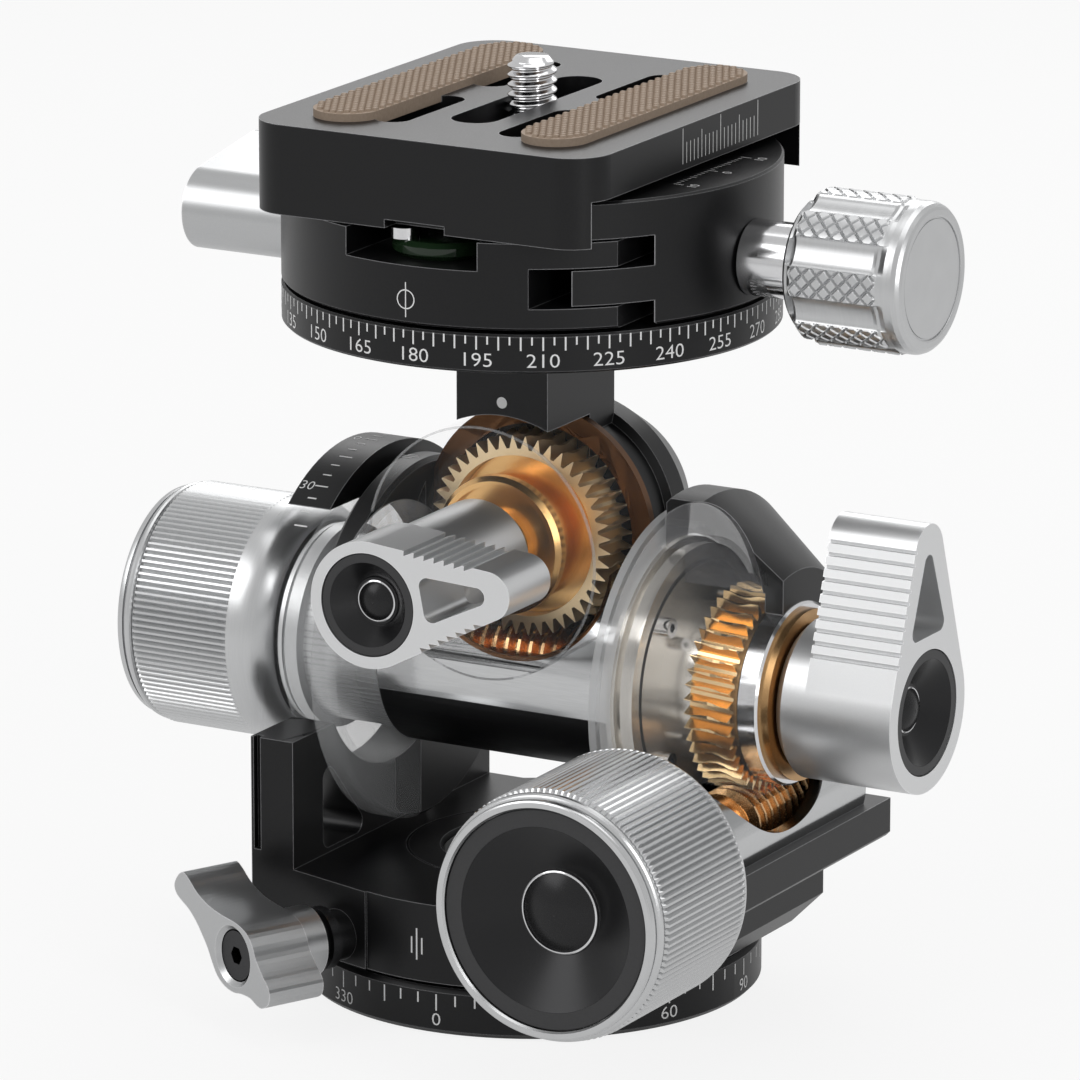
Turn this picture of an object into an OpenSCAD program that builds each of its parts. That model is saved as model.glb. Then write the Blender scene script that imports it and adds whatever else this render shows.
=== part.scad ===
// Geared tripod head: a panning base, a U bracket, two worm-geared tilt axes
// and a panning quick-release clamp with its plate and camera screw.
// Frame: +Z up along the pan axis, +X towards the clamp knob, -Y to the front.
// The origin is the centre of the base disc's underside.

/* [Pan base] */
// Radius of the base disc
base_r = 30; // [26:0.5:36]
// Height of the base disc
base_h = 6.2; // [5:0.1:8]
// Radius of the axle that stands on the base disc
axle_r = 11; // [10:0.5:11.5]
// Wall radius of the tripod thread at the bottom
tripod_thread_r = 3.97; // [3:0.01:4.2]
// Length of the tripod thread
tripod_thread_len = 9; // [7:0.5:10]
// Radius of the steel thread bush
bush_r = 6; // [5.5:0.1:7]
// Gap between the base disc and the bracket
pan_gap = 0.6; // [0.4:0.1:1.5]
// Radius of the axle cap that shows in the bracket's floor
cap_r = 16.4; // [14:0.1:18]

/* [Bracket] */
// Height of the bracket's floor block
floor_h = 10.4; // [9:0.1:14]
// Distance from the pan axis to the left arm's inner face
arm_in = 21; // [20.5:0.1:23]
// Thickness of the left arm
arm_t = 6.3; // [5:0.1:8]
// Radius of the left arm's arched top, which carries the tilt scale
arm_r = 25.5; // [25:0.1:28]
// Radius of the right arm's drum
drum_r = 24.8; // [23.5:0.1:27]
// Distance from the pan axis to the right arm's outer face
arm_out = 42; // [42:0.1:46]
// Distance from the pan axis to the floor's right face
floor_right = 34.5; // [33:0.1:38]

/* [Gears] */
// Height of the pitch axis
pitch_z = 43; // [43:0.1:46]
// Distance between a wheel's axis and its worm's axis
gear_centre = 16.4; // [16.4:0.05:17]
// Teeth on each worm wheel
wheel_teeth = 44; // [36:1:50]
// Width of each worm wheel
wheel_w = 6.2; // [5:0.1:6.4]
// Place of the pitch wheel's middle plane along X
pitch_gear_x = 32.6; // [32.4:0.1:33]
// Length of the threaded part of each worm
worm_len = 15; // [12:0.5:17]
// Depth of the wheel teeth
tooth_h = 1.25; // [1:0.05:1.3]
// Play between meshing flanks, counted across both
mesh_play = 0.3; // [0.2:0.05:0.5]

/* [Knobs and levers] */
// Radius of the two large drive knobs
drive_knob_r = 16.2; // [14:0.1:16.4]
// Length of the two large drive knobs
drive_knob_len = 23; // [18:0.5:25]
// Ribs around each drive knob
drive_ribs = 90; // [60:1:120]
// Reach of the pitch lever from its axis to its tip's centre
pitch_lever_reach = 20.7; // [18:0.1:22]
// Reach of the roll lever from its axis to its tip's centre
roll_lever_reach = 17.6; // [15:0.1:19]
// Radius of the clamp knob
clamp_knob_r = 10; // [8:0.1:11]
// Length of the clamp knob
clamp_knob_len = 17; // [14:0.5:20]

/* [Upper bracket] */
// Half width of the neck
neck_half = 6.7; // [6:0.1:8]
// Height of the clamp scale ring's underside
ring_z = 88.05; // [88:0.05:92]
// Height of the clamp scale ring
ring_h = 5; // [4:0.1:6]

/* [Clamp and plate] */
// Radius of the clamp and its scale ring
clamp_r = 32.17; // [31:0.01:34]
// Height of the clamp's jaws
clamp_h = 16.2; // [16:0.1:18]
// Width of the quick-release plate
plate_w = 50; // [46:0.5:52]
// Length of the quick-release plate
plate_len = 60; // [58.5:0.5:70]
// Thickness of the quick-release plate
plate_t = 11.6; // [11:0.1:13]
// Width of the plate's dovetail at its foot
dovetail_w = 38; // [37:0.1:39]
// Travel of the moving jaw
jaw_travel = 2; // [1:0.5:2.5]
// Radius of the camera screw
camera_screw_r = 3.175; // [2.5:0.005:3.2]
// Height that the camera screw stands above the plate
camera_screw_up = 5.5; // [4:0.5:7]

/* [Hidden] */
$fn = 96;

// Overrun of a cut past the face that it opens
over = 0.5;
// Radial clearance of a shaft in its bore
fit = 0.05;
// Gap between faces that pass each other
gap = 0.3;
// Small bevel on machined edges
edge = 0.6;
// Depth by which a straight flank lies inside the circles that it joins
seam = 0.01;

// Base heights
axle_up = 8;
axle_top = base_h + axle_up;
floor_z0 = base_h + pan_gap;
floor_z1 = floor_z0 + floor_h;
cap_h = floor_z1 - axle_top;
cap_bore = 12;
slide_ring_w = 9;
bush_foot = 0.2;
passage_r = 5;

// Floor outline, seen from above
front_x = 8.1;
front_y = -29.2;
floor_front_right_x = 24;
floor_front_right_y = -22;
floor_right_y0 = -14;
floor_right_y1 = 16;
left_foot_y = -arm_r;

// Axes that follow from the gear centres
roll_z = pitch_z + gear_centre;
pitch_worm_z = pitch_z - gear_centre;

// Tooth form, worked out on the pitch circle
wheel_blank_r = 13.25;
wheel_tip_r = 12.8;
wheel_root_r = wheel_tip_r - tooth_h;
tip_share = 0.4;
wheel_pitch_r = wheel_tip_r - tip_share * tooth_h;
worm_pitch_r = gear_centre - wheel_pitch_r;
worm_clear = 0.22;
worm_tip_r = gear_centre - wheel_root_r - worm_clear;
worm_root_r = gear_centre - wheel_tip_r - worm_clear;
worm_lead = 2 * PI * wheel_pitch_r / wheel_teeth;
flank_slope_share = 0.325;
wheel_tooth_share = 0.41;
wheel_tooth_w = wheel_tooth_share * worm_lead;
worm_tooth_w = worm_lead - wheel_tooth_w - mesh_play;
lead_angle = atan(worm_lead / (2 * PI * worm_pitch_r));
worm_steps = 20;
wheel_slices = 6;
wheel_room = 0.6;

// Wing knob: a radial axis 25 degrees from the front towards the left
wing_angle = 25;
wing_z = 10.4;
wing_seat = 30.2;
wing_shaft_r = 3.3;
wing_shaft_len = 5.2;
wing_z0 = wing_seat + wing_shaft_len;
wing_depth = 11.6;
wing_z1 = wing_z0 + wing_depth;
wing_blade = 8.3;
wing_hub_r = 4.7;
wing_reach = 13.4;
wing_root = 0.6;
wing_collar = 1.3;
wing_hex = 1.25;
shoe_len = 3;
wing_smooth = 3;
// Outline of the wing: a long blade up to the left and a short one down to the right
wing_shares = [[0.496, -0.393], [0.604, -0.328], [0.627, -0.209], [0.575, -0.127], [0.493, -0.049],
    [0.407, 0.052], [0.343, 0.175], [0.261, 0.276], [0.134, 0.331], [0, 0.353], [-0.168, 0.366],
    [-0.362, 0.393], [-0.515, 0.44], [-0.642, 0.507], [-0.746, 0.582], [-0.847, 0.627],
    [-0.933, 0.579], [-1, 0.478], [-0.978, 0.396], [-0.896, 0.343], [-0.754, 0.28], [-0.627, 0.187],
    [-0.519, 0.075], [-0.433, -0.026], [-0.358, -0.146], [-0.265, -0.265], [-0.134, -0.336],
    [0.015, -0.358], [0.142, -0.34], [0.295, -0.343], [0.403, -0.384]];

// Left arm and trunnion
trunnion_r = 17.3;
tilt_drum_r = 24;
tilt_drum_x0 = -19.5;
tilt_drum_x1 = -15.6;
arm_outer = -(arm_in + arm_t);
arm_half = arm_r;
window_r = 1.5;
window_y0 = 18;
window_y1 = 9.5;
window_z0 = floor_z1 + 2.2;
window_z1 = 27.2;
foot_bevel = 4.6;
arm_groove_w = 1;
arm_groove_d = 1;
arm_groove_x = arm_outer + 0.4;

// Barrel and roll housing on the tilt body
barrel_r = 13.4;
barrel_x1 = 20;
barrel_split_drop = 3.7;
barrel_split_z = pitch_z - barrel_split_drop;
sleeve_r = 8;
sleeve_bore = 6.3;
sleeve_y0 = -31;
sleeve_y1 = 16;
roll_housing_r = 16.7;
roll_front_y = -barrel_r;
roll_back_y = 2.8;
roll_wall = 1.6;
wheel_pocket_r = wheel_blank_r + wheel_room;

// Worm shafts and bearings
worm_shaft_r = 3;
bearing_w = 4;
bush_step_d = 1.2;
bush_wall = 3;
bush_collar_h = 1.3;
bush_neck_wall = 4;
bush_step_r = barrel_r - bush_step_d;
bush_bore_r = bush_step_r - bush_wall;
bush_collar_r = bush_step_r + bush_collar_h;
bush_neck_r = drive_knob_r - bush_neck_wall;

// Right side, along X from the barrel outwards
flange_x0 = 20.9;
flange_r = 18.1;
flange_t = 3.4;
flange_x1 = flange_x0 + flange_t;
flange_neck_r = 10.2;
cover_ring_x0 = 20.7;
cover_ring_t = 1;
cover_r = 22.3;
cover_bore = 18.4;
drum_x0 = 21.9;
drum_shoulder_x = 27;
drum_end_x = 38.8;
drum_end_r = 16.2;
arm_web_x = 36.6;
arm_block_z0 = 19.1;
arm_block_z1 = 24.3;
arm_block_y0 = -22;
arm_block_y1 = 20.3;
cover_cut_y = -4;
gear_cavity_r = 14.3;
wheel_x0 = pitch_gear_x - wheel_w / 2;
wheel_x1 = pitch_gear_x + wheel_w / 2;
hub_ring_x0 = wheel_x1 + 0.5;
hub_ring_x1 = 39.2;
hub_ring_r = 11.9;
thrust_x0 = hub_ring_x1;
thrust_x1 = 40.4;
thrust_r = 11.1;
pitch_shaft_r = 4.5;

// Pitch lever
pitch_hub_r = 10.5;
pitch_lever_x0 = 40.7;
pitch_arm_x0 = 45.1;
pitch_lever_x1 = 57.4;
pitch_tip_r = 4;
rib_pitch = 1.55;
rib_cut = 0.7;
rib_start = 7.6;
lever_window_r = 1.2;
lever_window_w = 3.2;
lever_window_low = 11.2;
flank_angle = asin((pitch_hub_r - pitch_tip_r) / pitch_lever_reach);
lever_dish_r = 8.2;
lever_dish_lip = 7;
lever_dish_depth = 3.4;
lever_dome_r = 3;
lever_dome_rise = 1.2;

// Roll lever
roll_hub_r = 7.3;
roll_head_r = 8.2;
roll_lever_y0 = -42;
roll_arm_y1 = -31.6;
roll_lever_gap = 0.4;
roll_lever_y1 = roll_front_y - roll_lever_gap;
roll_tip_r = 3.2;
roll_lever_tilt = 11.3;
roll_shaft_r = 4;
roll_shaft_y0 = -30;
roll_window_w = 1.7;
roll_window_low = 9.2;
roll_flank = asin((roll_head_r - roll_tip_r) / roll_lever_reach);
roll_rib_pitch = 1.45;
roll_rib_start = 4.6;
tooth_share = 0.9;
roll_dish_r = 6.7;
roll_dish_lip = 5.5;
roll_dish_depth = 3;
roll_dome_r = 2.7;
roll_dome_rise = 1.1;
collar_r = 9.15;
collar_y0 = -9.2;
wheel_rim_r = 10.6;
wheel_web_y = -0.9;

// Drive knobs
pitch_knob_y0 = -55;
pitch_knob_y1 = pitch_knob_y0 + drive_knob_len;
roll_knob_x0 = -54;
roll_knob_x1 = roll_knob_x0 + drive_knob_len;
rib_depth = 0.45;
rib_shy = 0.15;
knob_rim = 2.6;
knob_back = 6;
roll_bush_x0 = roll_knob_x1 - knob_back + gap + edge;
roll_bush_x1 = -16.4;
bush_collar_x = arm_outer - gap;
dish_r = 12.35;
dish_lip = 9.9;
dish_depth = 4.2;
dome_r = 5.1;
dome_rise = 1.5;

// Flange of the pitch axis
flange_bolt_r = 12.6;
flange_bolt_head_r = 1.3;
seal_r = 15.2;
seal_wire = 0.5;
seal_proud = 0.15;

// Upper bracket
neck_y0 = -7.9;
neck_y1 = 9.7;
neck_z0 = 75;
neck_clear_r = roll_housing_r + gap;
rear_arm_y = 3.2;
rear_arm_low = 5;
rear_flange_y = 5.2;
rear_flange_r = 14.8;
rear_disc_r = 15.9;
rear_disc_y0 = 9;
rear_disc_y1 = 13;
rear_end_y = 20;
rear_end_r = 12.4;

// Clamp
clamp_gap = 0.5;
clamp_z0 = ring_z + ring_h + clamp_gap;
clamp_top = clamp_z0 + clamp_h;
channel_up = 11.15;
channel_z = clamp_z0 + channel_up;
clamp_axle_r = 10;
clamp_axle_up = 6.4;
clamp_axle_top = clamp_z0 + clamp_axle_up;
screw_up = 5.8;
screw_z = clamp_z0 + screw_up;
screw_r = 2.4;
screw_head_r = 4.9;
screw_inner = 2;
slot_back = 16.77;
slot_x = clamp_r - slot_back;
tongue_back = 12.27;
tongue_x = clamp_r - tongue_back;
finger_back = 7.97;
finger_x = clamp_r - finger_back;
jaw_back = 4.97;
jaw_x = clamp_r - jaw_back;
slot_low = 2.8;
slot_high = 7.9;
tongue_half_w = 9;
level_half = 9.45;
level_up = 7.5;
level_z = clamp_z0 + level_up;
level_back = 15.17;
level_back_y = level_back - clamp_r;
grip_play = 0.08;
stop_play = 1;
vial_r = 6.6;
vial_in = 9.67;
vial_y = vial_in - clamp_r;
vial_h = 2.2;
vial_ball = 7.6;
pin_x = -3.4;
pin_in = 5.67;
pin_y = pin_in - clamp_r;
pin_r = 1.9;

// Pan lock lever on the clamp
pan_lever_w = 16.2;
pan_lever_gap = 1.03;
pan_lever_x1 = -clamp_r - pan_lever_gap;
pan_lever_x0 = pan_lever_x1 - pan_lever_w;
pan_lever_up = 3.4;
pan_lever_z = clamp_z0 + pan_lever_up;
pan_hub_r = 5.5;
pan_tip_r = 4.2;
pan_reach = 13.2;
pan_lever_rise = 15;
pan_screw_r = 3;

// Plate, measured up from its foot
plate_seat = 0.2;
plate_z0 = channel_z + plate_seat;
plate_z1 = plate_z0 + plate_t;
plate_corner = 5.5;
stop_y = 27.6;
foot_h = 1.7;
bevel_h = 2.6;
lip_h = 5.9;
plate_slot_half = 3.2;
side_slot_x = 9;
strip_x0 = 10.7;
strip_x1 = 19.5;
strip_half = 25;
strip_rise = 1;
strip_sink = 0.8;
stop_notch_half = 4.3;
slot_border = 3;
slot_front = -17.5;
slot_rear = 15;
side_slot_half = 2.4;
side_slot_y0 = 3.5;
side_slot_y1 = 21.5;
screw_well = 5;

// Camera screw, relieved below the plate's top
shank_relief = 0.4;
shank_r = camera_screw_r - shank_relief;
camera_screw_top = plate_z1 + camera_screw_up;
screw_head_z = 1.2;
screw_head_w = 5.8;
screw_key_r = 2;
screw_socket_r = 1.6;
screw_socket_h = 1.4;

// Clamp knob along X
clamp_knob_out = 8.33;
clamp_knob_x0 = clamp_r + clamp_knob_out;
clamp_knob_x1 = clamp_knob_x0 + clamp_knob_len;
flute_r = 1.5;
flutes = 8;

// Cylinders and rings between two places on an axis
module rod_z(r, z0, z1) {
    translate([0, 0, z0]) cylinder(r = r, h = z1 - z0);
}
module rod_x(r, x0, x1) {
    rotate([0, 90, 0]) rod_z(r, x0, x1);
}
module rod_y(r, y0, y1) {
    rotate([-90, 0, 0]) rod_z(r, y0, y1);
}
module ring_z(ro, ri, z0, z1) {
    difference() {
        rod_z(ro, z0, z1);
        rod_z(ri, z0 - over, z1 + over);
    }
}
module ring_x(ro, ri, x0, x1) {
    rotate([0, 90, 0]) ring_z(ro, ri, x0, x1);
}
module ring_y(ro, ri, y0, y1) {
    rotate([-90, 0, 0]) ring_z(ro, ri, y0, y1);
}

// A solid of revolution from [place on the axis, radius] pairs
module turned(path) {
    rotate_extrude() polygon([for (p = path) [p[1], p[0]]]);
}
module turned_x(path) {
    rotate([0, 90, 0]) turned(path);
}
module turned_y(path) {
    rotate([-90, 0, 0]) turned(path);
}

// A disc with a bevel on both edges
function bevelled(a, b, r, c) = [[a, 0], [a, r - c], [a + c, r], [b - c, r], [b, r - c], [b, 0]];

// A box between two corners
module block(a, b) {
    translate(a) cube(b - a);
}

// A flat teardrop: a large circle at the origin and a small one up the Y axis
module teardrop(r1, r2, reach) {
    a = asin((r1 - r2) / reach);
    s1 = r1 - seam;
    s2 = r2 - seam;
    circle(r = r1);
    translate([0, reach]) circle(r = r2);
    polygon([
        [s1 * cos(a), s1 * sin(a)], [s2 * cos(a), reach + s2 * sin(a)],
        [-s2 * cos(a), reach + s2 * sin(a)], [-s1 * cos(a), s1 * sin(a)]
    ]);
}

// A flat shape with rounded corners, whose corner centres run anticlockwise
module soft_polygon(centres, r) {
    n = len(centres);
    polygon(centres);
    for (i = [0:n - 1]) {
        a = centres[i];
        b = centres[(i + 1) % n];
        out = [b[1] - a[1], a[0] - b[0]] / norm(b - a) * (r - seam);
        translate(a) circle(r = r);
        polygon([a, a + out, b + out, b]);
    }
}

// A rectangle with rounded corners about the origin
module soft_rect(w, h, r) {
    square([w, h - 2 * r], center = true);
    square([w - 2 * r, h], center = true);
    for (x = [-1, 1]) for (y = [-1, 1])
        translate([x * (w / 2 - r), y * (h / 2 - r)]) circle(r = r);
}

// A round-ended slot along Y between two places
module slot_y(half_w, y0, y1) {
    translate([-half_w, y0 + half_w]) square([2 * half_w, y1 - y0 - 2 * half_w]);
    for (y = [y0 + half_w, y1 - half_w]) translate([0, y]) circle(r = half_w);
}

// Puts a child's flat profile, drawn in Y and Z, between two places on X
module extrude_x(x0, x1) {
    translate([x0, 0, 0]) rotate([90, 0, 90]) linear_extrude(x1 - x0) children();
}
// Puts a child's flat profile, drawn in X and Z, between two places on Y
module extrude_y(y0, y1) {
    translate([0, y1, 0]) rotate([90, 0, 0]) linear_extrude(y1 - y0) children();
}

// Moves a child that is built about an origin axis to the pitch or roll axis
module at_pitch() { translate([0, 0, pitch_z]) children(); }
module at_roll() { translate([0, 0, roll_z]) children(); }
module at_pitch_worm() { translate([pitch_gear_x, 0, pitch_worm_z]) children(); }

// Worm wheel: each slice follows the worm's throat and turns with its lead
function throat_r(z) =
    let (reach = gear_centre - wheel_tip_r, left = reach * reach - z * z)
    left > 0 ? min(wheel_blank_r, gear_centre - sqrt(left)) : wheel_blank_r;
function wheel_half_angle(r) =
    (wheel_tooth_w / 2 + (wheel_pitch_r - r) * flank_slope_share) / r * 180 / PI;
function wheel_slice(z) = [
    for (i = [0:wheel_teeth - 1])
        let (mid = (i + 0.5) * 360 / wheel_teeth + z * tan(lead_angle) / wheel_pitch_r * 180 / PI,
            tip = throat_r(z))
        for (p = [[-1, wheel_root_r], [-1, tip], [1, tip], [1, wheel_root_r]])
            let (a = mid + p[0] * wheel_half_angle(p[1])) [p[1] * cos(a), p[1] * sin(a), z]
];
module worm_wheel(z0, z1, bore) {
    n = 4 * wheel_teeth;
    rows = wheel_slices;
    skin = [for (k = [0:rows]) wheel_slice(z0 + (z1 - z0) * k / rows)];
    ends = [for (row = [skin[0], skin[rows]]) [for (p = row)
        let (share = bore / norm([p[0], p[1]])) [p[0] * share, p[1] * share, p[2]]]];
    low = (rows + 1) * n;
    high = low + n;
    faces = [for (i = [0:n - 1]) let (j = (i + 1) % n) each concat(
        [for (k = [0:rows - 1]) let (a = k * n) each
            [[a + i, a + n + i, a + n + j], [a + i, a + n + j, a + j]]],
        [[low + i, i, j], [low + i, j, low + j],
            [high + i, rows * n + j, rows * n + i], [high + i, high + j, rows * n + j],
            [low + i, low + j, high + j], [low + i, high + j, high + i]])];
    polyhedron(points = concat([for (row = skin) each row], ends[0], ends[1]), faces = faces);
}

// Worm: a right-hand thread about Z with a ridge at the mesh angle in its middle
function worm_r(k) = k % 4 == 0 || k % 4 == 3 ? worm_root_r : worm_tip_r;
function worm_off(k) =
    let (low = worm_tooth_w / 2 + (worm_pitch_r - worm_root_r) * flank_slope_share,
        high = worm_tooth_w / 2 - (worm_tip_r - worm_pitch_r) * flank_slope_share)
    [-low, -high, high, low][k % 4];
module worm_thread(mesh_angle, length) {
    turns = ceil(length / worm_lead) + 4;
    n = worm_steps;
    cols = 4 * turns;
    start = -worm_lead * (mesh_angle / 360 + ceil(turns / 2));
    points = [for (j = [0:n - 1]) for (k = [0:cols - 1])
        let (a = 360 * j / n)
        [worm_r(k) * cos(a), worm_r(k) * sin(a),
            start + worm_lead * (floor(k / 4) + j / n) + worm_off(k)]];
    low_tip = n * cols;
    high_tip = n * cols + 1;
    tips = [[0, 0, start], [0, 0, start + worm_lead * turns]];
    skin = [for (j = [0:n - 1]) for (k = [0:cols - 2])
        let (a = j * cols + k, b = j < n - 1 ? a + cols : k + 4)
        if (j < n - 1 || k + 5 < cols) each [[a, a + 1, b + 1], [a, b + 1, b]]];
    low_loop = concat([for (j = [0:n - 1]) j * cols], [4, 3, 2, 1]);
    high_loop = concat([for (j = [0:n - 1]) j * cols + cols - 1],
        [for (k = [2:5]) (n - 1) * cols + cols - k]);
    low_cap = [for (i = [0:len(low_loop) - 1])
        [low_loop[i], low_loop[(i + 1) % len(low_loop)], low_tip]];
    high_cap = [for (i = [0:len(high_loop) - 1])
        [high_loop[(i + 1) % len(high_loop)], high_loop[i], high_tip]];
    intersection() {
        polyhedron(points = concat(points, tips), faces = concat(skin, low_cap, high_cap));
        cube([4 * worm_tip_r, 4 * worm_tip_r, length], center = true);
    }
}

// Low dome on a short stud
module dome(r, rise, seat) {
    ball = (r * r + rise * rise) / (2 * rise);
    intersection() {
        translate([0, 0, rise - ball]) sphere(r = ball);
        rod_z(r, 0, rise + over);
    }
    rod_z(r, -seat, 0);
}

// Base

module base_disc() {
    color([0.07, 0.07, 0.08])
        difference() {
            union() {
                turned(bevelled(0, base_h, base_r, edge));
                rod_z(axle_r, base_h - over, axle_top);
            }
            rod_z(bush_r, -over, tripod_thread_len + bush_foot);
            rod_z(passage_r, tripod_thread_len, axle_top + over);
        }
}

module tripod_bush() {
    color([0.75, 0.76, 0.78])
        ring_z(bush_r, tripod_thread_r, bush_foot, bush_foot + tripod_thread_len);
}

module pan_slide_ring() {
    color([0.85, 0.84, 0.8])
        ring_z(base_r - slide_ring_w / 2, base_r - slide_ring_w * 3 / 2, base_h, floor_z0 - fit);
}

module pan_axle_cap() {
    color([0.08, 0.08, 0.09])
        difference() {
            turned(bevelled(axle_top, floor_z1, cap_r, edge / 2));
            rod_z(cap_bore, axle_top - over, floor_z1 + over);
        }
}

module pan_retaining_nut() {
    color([0.72, 0.73, 0.75])
        turned([[axle_top, passage_r], [axle_top, cap_bore], [floor_z1 - 2 * edge, cap_bore],
            [floor_z1 - edge, cap_bore - edge], [floor_z1 - edge, cap_bore - 4 * edge],
            [floor_z1 - 3 * edge, cap_bore - 5 * edge], [floor_z1 - 3 * edge, passage_r]]);
}

// Bracket

module floor_outline() {
    circle(r = base_r);
    polygon([[0, 0], [-front_x, front_y], [-arm_in, left_foot_y], [-arm_in, 0]]);
    polygon([[0, 0], [floor_right - foot_bevel, floor_right_y0], [floor_front_right_x, floor_front_right_y],
        [front_x, front_y]]);
}

module floor_block() {
    translate([0, 0, floor_z0]) linear_extrude(floor_h) floor_outline();
    extrude_y(floor_right_y0, floor_right_y1)
        polygon([[0, floor_z0], [floor_right - foot_bevel, floor_z0], [floor_right, floor_z0 + foot_bevel],
            [floor_right, floor_z1], [0, floor_z1]]);
    extrude_y(-arm_half, arm_half)
        polygon([[-base_r / 2, floor_z0], [-arm_in, floor_z0], [arm_outer, floor_z0 + arm_t],
            [arm_outer, floor_z1], [-base_r / 2, floor_z1]]);
}

module left_arm() {
    extrude_x(arm_outer, -arm_in) {
        translate([0, pitch_z]) circle(r = arm_r);
        translate([-arm_half, floor_z0 + arm_t]) square([2 * arm_half, pitch_z - floor_z0 - arm_t]);
    }
}

module arm_windows() {
    extrude_x(arm_outer - over, -arm_in + over)
        for (side = [0, 1]) mirror([side, 0])
            soft_polygon([[window_y1, window_z0], [window_y0 - window_r, window_z0],
                [window_y0 - window_r, window_z1]], window_r);
}

module arm_groove() {
    block([arm_groove_x, -arm_half - over, floor_z1 + 2 * arm_groove_w],
        [arm_groove_x + arm_groove_w, -arm_half + arm_groove_d, pitch_z]);
}

module right_arm_solid() {
    at_pitch() turned_x([[drum_x0, 0], [drum_x0, drum_r - edge], [drum_x0 + edge, drum_r],
        [drum_shoulder_x, drum_r], [drum_end_x, drum_end_r], [drum_end_x, 0]]);
    block([drum_x0, cover_cut_y, arm_block_z0], [arm_web_x, arm_block_y1, pitch_z]);
    extrude_y(arm_block_y0, arm_block_y1)
        polygon([[drum_x0, floor_z1 - over], [floor_right, floor_z1 - over], [floor_right, arm_block_z0],
            [arm_out - edge, arm_block_z0], [arm_out, arm_block_z0 + edge], [arm_out, arm_block_z1],
            [drum_x0, arm_block_z1]]);
}

module right_arm() {
    difference() {
        right_arm_solid();
        block([drum_x0 - over, -drum_r - over, arm_block_z1],
            [drum_end_x + over, cover_cut_y, pitch_z + drum_r + over]);
        at_pitch() {
            rod_x(flange_r + gap, drum_x0 - over, flange_x1 + gap);
            rod_x(gear_cavity_r, flange_x1, hub_ring_x0);
            rod_x(hub_ring_r, hub_ring_x0 - over, drum_end_x + over);
        }
        at_pitch_worm() rod_y(sleeve_r, arm_block_y0 - over, sleeve_y1);
        at_pitch_worm() rod_y(worm_shaft_r + gap, sleeve_y1 - over, arm_block_y1 + over);
    }
}

module bracket() {
    color([0.09, 0.09, 0.1])
        difference() {
            union() {
                floor_block();
                left_arm();
                right_arm();
            }
            rod_z(axle_r + fit, floor_z0 - over, axle_top + over);
            rod_z(cap_r + fit, axle_top - fit, floor_z1 + over);
            at_pitch() rod_x(trunnion_r + fit, arm_outer - over, -arm_in + over);
            arm_windows();
            arm_groove();
            at_wing() rod_z(wing_shaft_r, axle_r - over, wing_seat + 2 * over);
        }
}

module pan_brake_shoe() {
    color([0.75, 0.55, 0.25])
        at_wing() rod_z(wing_shaft_r - fit, axle_r + gap, axle_r + shoe_len);
}

module pitch_worm_sleeve() {
    color([0.8, 0.8, 0.82])
        difference() {
            at_pitch_worm() ring_y(sleeve_r, sleeve_bore, sleeve_y0, sleeve_y1);
            at_pitch() rod_x(flange_neck_r + gap, flange_x1, wheel_x1);
            at_pitch() rod_x(wheel_pocket_r, wheel_x0 - wheel_room, wheel_x1 + wheel_room);
            at_pitch() rod_x(hub_ring_r, wheel_x1, hub_ring_x1 + over);
        }
}

module pitch_worm_bearings() {
    color([0.7, 0.71, 0.73])
        at_pitch_worm()
            for (y = [sleeve_y0 + bearing_w, sleeve_y1 - bearing_w])
                ring_y(sleeve_bore, worm_shaft_r + fit, y, y + bearing_w);
}

module pitch_gear_cover() {
    color([0.85, 0.87, 0.9, 0.4])
        difference() {
            at_pitch() {
                ring_x(cover_r, cover_bore, cover_ring_x0, cover_ring_x0 + cover_ring_t);
                difference() {
                    turned_x([[cover_ring_x0 + cover_ring_t, 0], [cover_ring_x0 + cover_ring_t, cover_r],
                        [drum_shoulder_x, cover_r], [drum_end_x, drum_end_r - edge], [drum_end_x, 0]]);
                    turned_x([[cover_ring_x0 + cover_ring_t - over, 0],
                        [cover_ring_x0 + cover_ring_t - over, cover_r - cover_ring_t],
                        [drum_shoulder_x - cover_ring_t, cover_r - cover_ring_t],
                        [drum_end_x - cover_ring_t, drum_end_r - edge - cover_ring_t],
                        [drum_end_x - cover_ring_t, 0]]);
                    rod_x(hub_ring_r, drum_end_x - 2 * cover_ring_t, drum_end_x + over);
                    block([drum_x0 - over, cover_cut_y, -drum_r], [drum_end_x + over, drum_r, drum_r]);
                }
            }
            block([drum_x0 - over, -drum_r, 0], [drum_end_x + over, drum_r, arm_block_z1]);
            at_pitch_worm() rod_y(sleeve_r, -drum_r, drum_r);
        }
}

module pitch_hub_ring() {
    color([0.78, 0.79, 0.8])
        at_pitch() difference() {
            turned_x(bevelled(hub_ring_x0, hub_ring_x1, hub_ring_r, edge / 2));
            rod_x(flange_neck_r + fit, hub_ring_x0 - over, hub_ring_x1 + over);
        }
}

module pitch_thrust_ring() {
    color([0.72, 0.47, 0.2])
        at_pitch() ring_x(thrust_r, pitch_shaft_r + 2 * fit, thrust_x0, thrust_x1);
}

// Wing knob

module at_wing() {
    translate([0, 0, wing_z]) rotate([90, 0, -wing_angle]) children();
}
// A smooth closed line through the points of a list, in equal steps between each pair
function smooth_line(p, steps) = let (n = len(p)) [for (i = [0:n - 1]) for (k = [0:steps - 1])
    let (a = p[(i + n - 1) % n], b = p[i], c = p[(i + 1) % n], d = p[(i + 2) % n], t = k / steps)
        b + t / 2 * (c - a + t * (2 * a - 5 * b + 4 * c - d + t * (3 * b - 3 * c + d - a)))];

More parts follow.
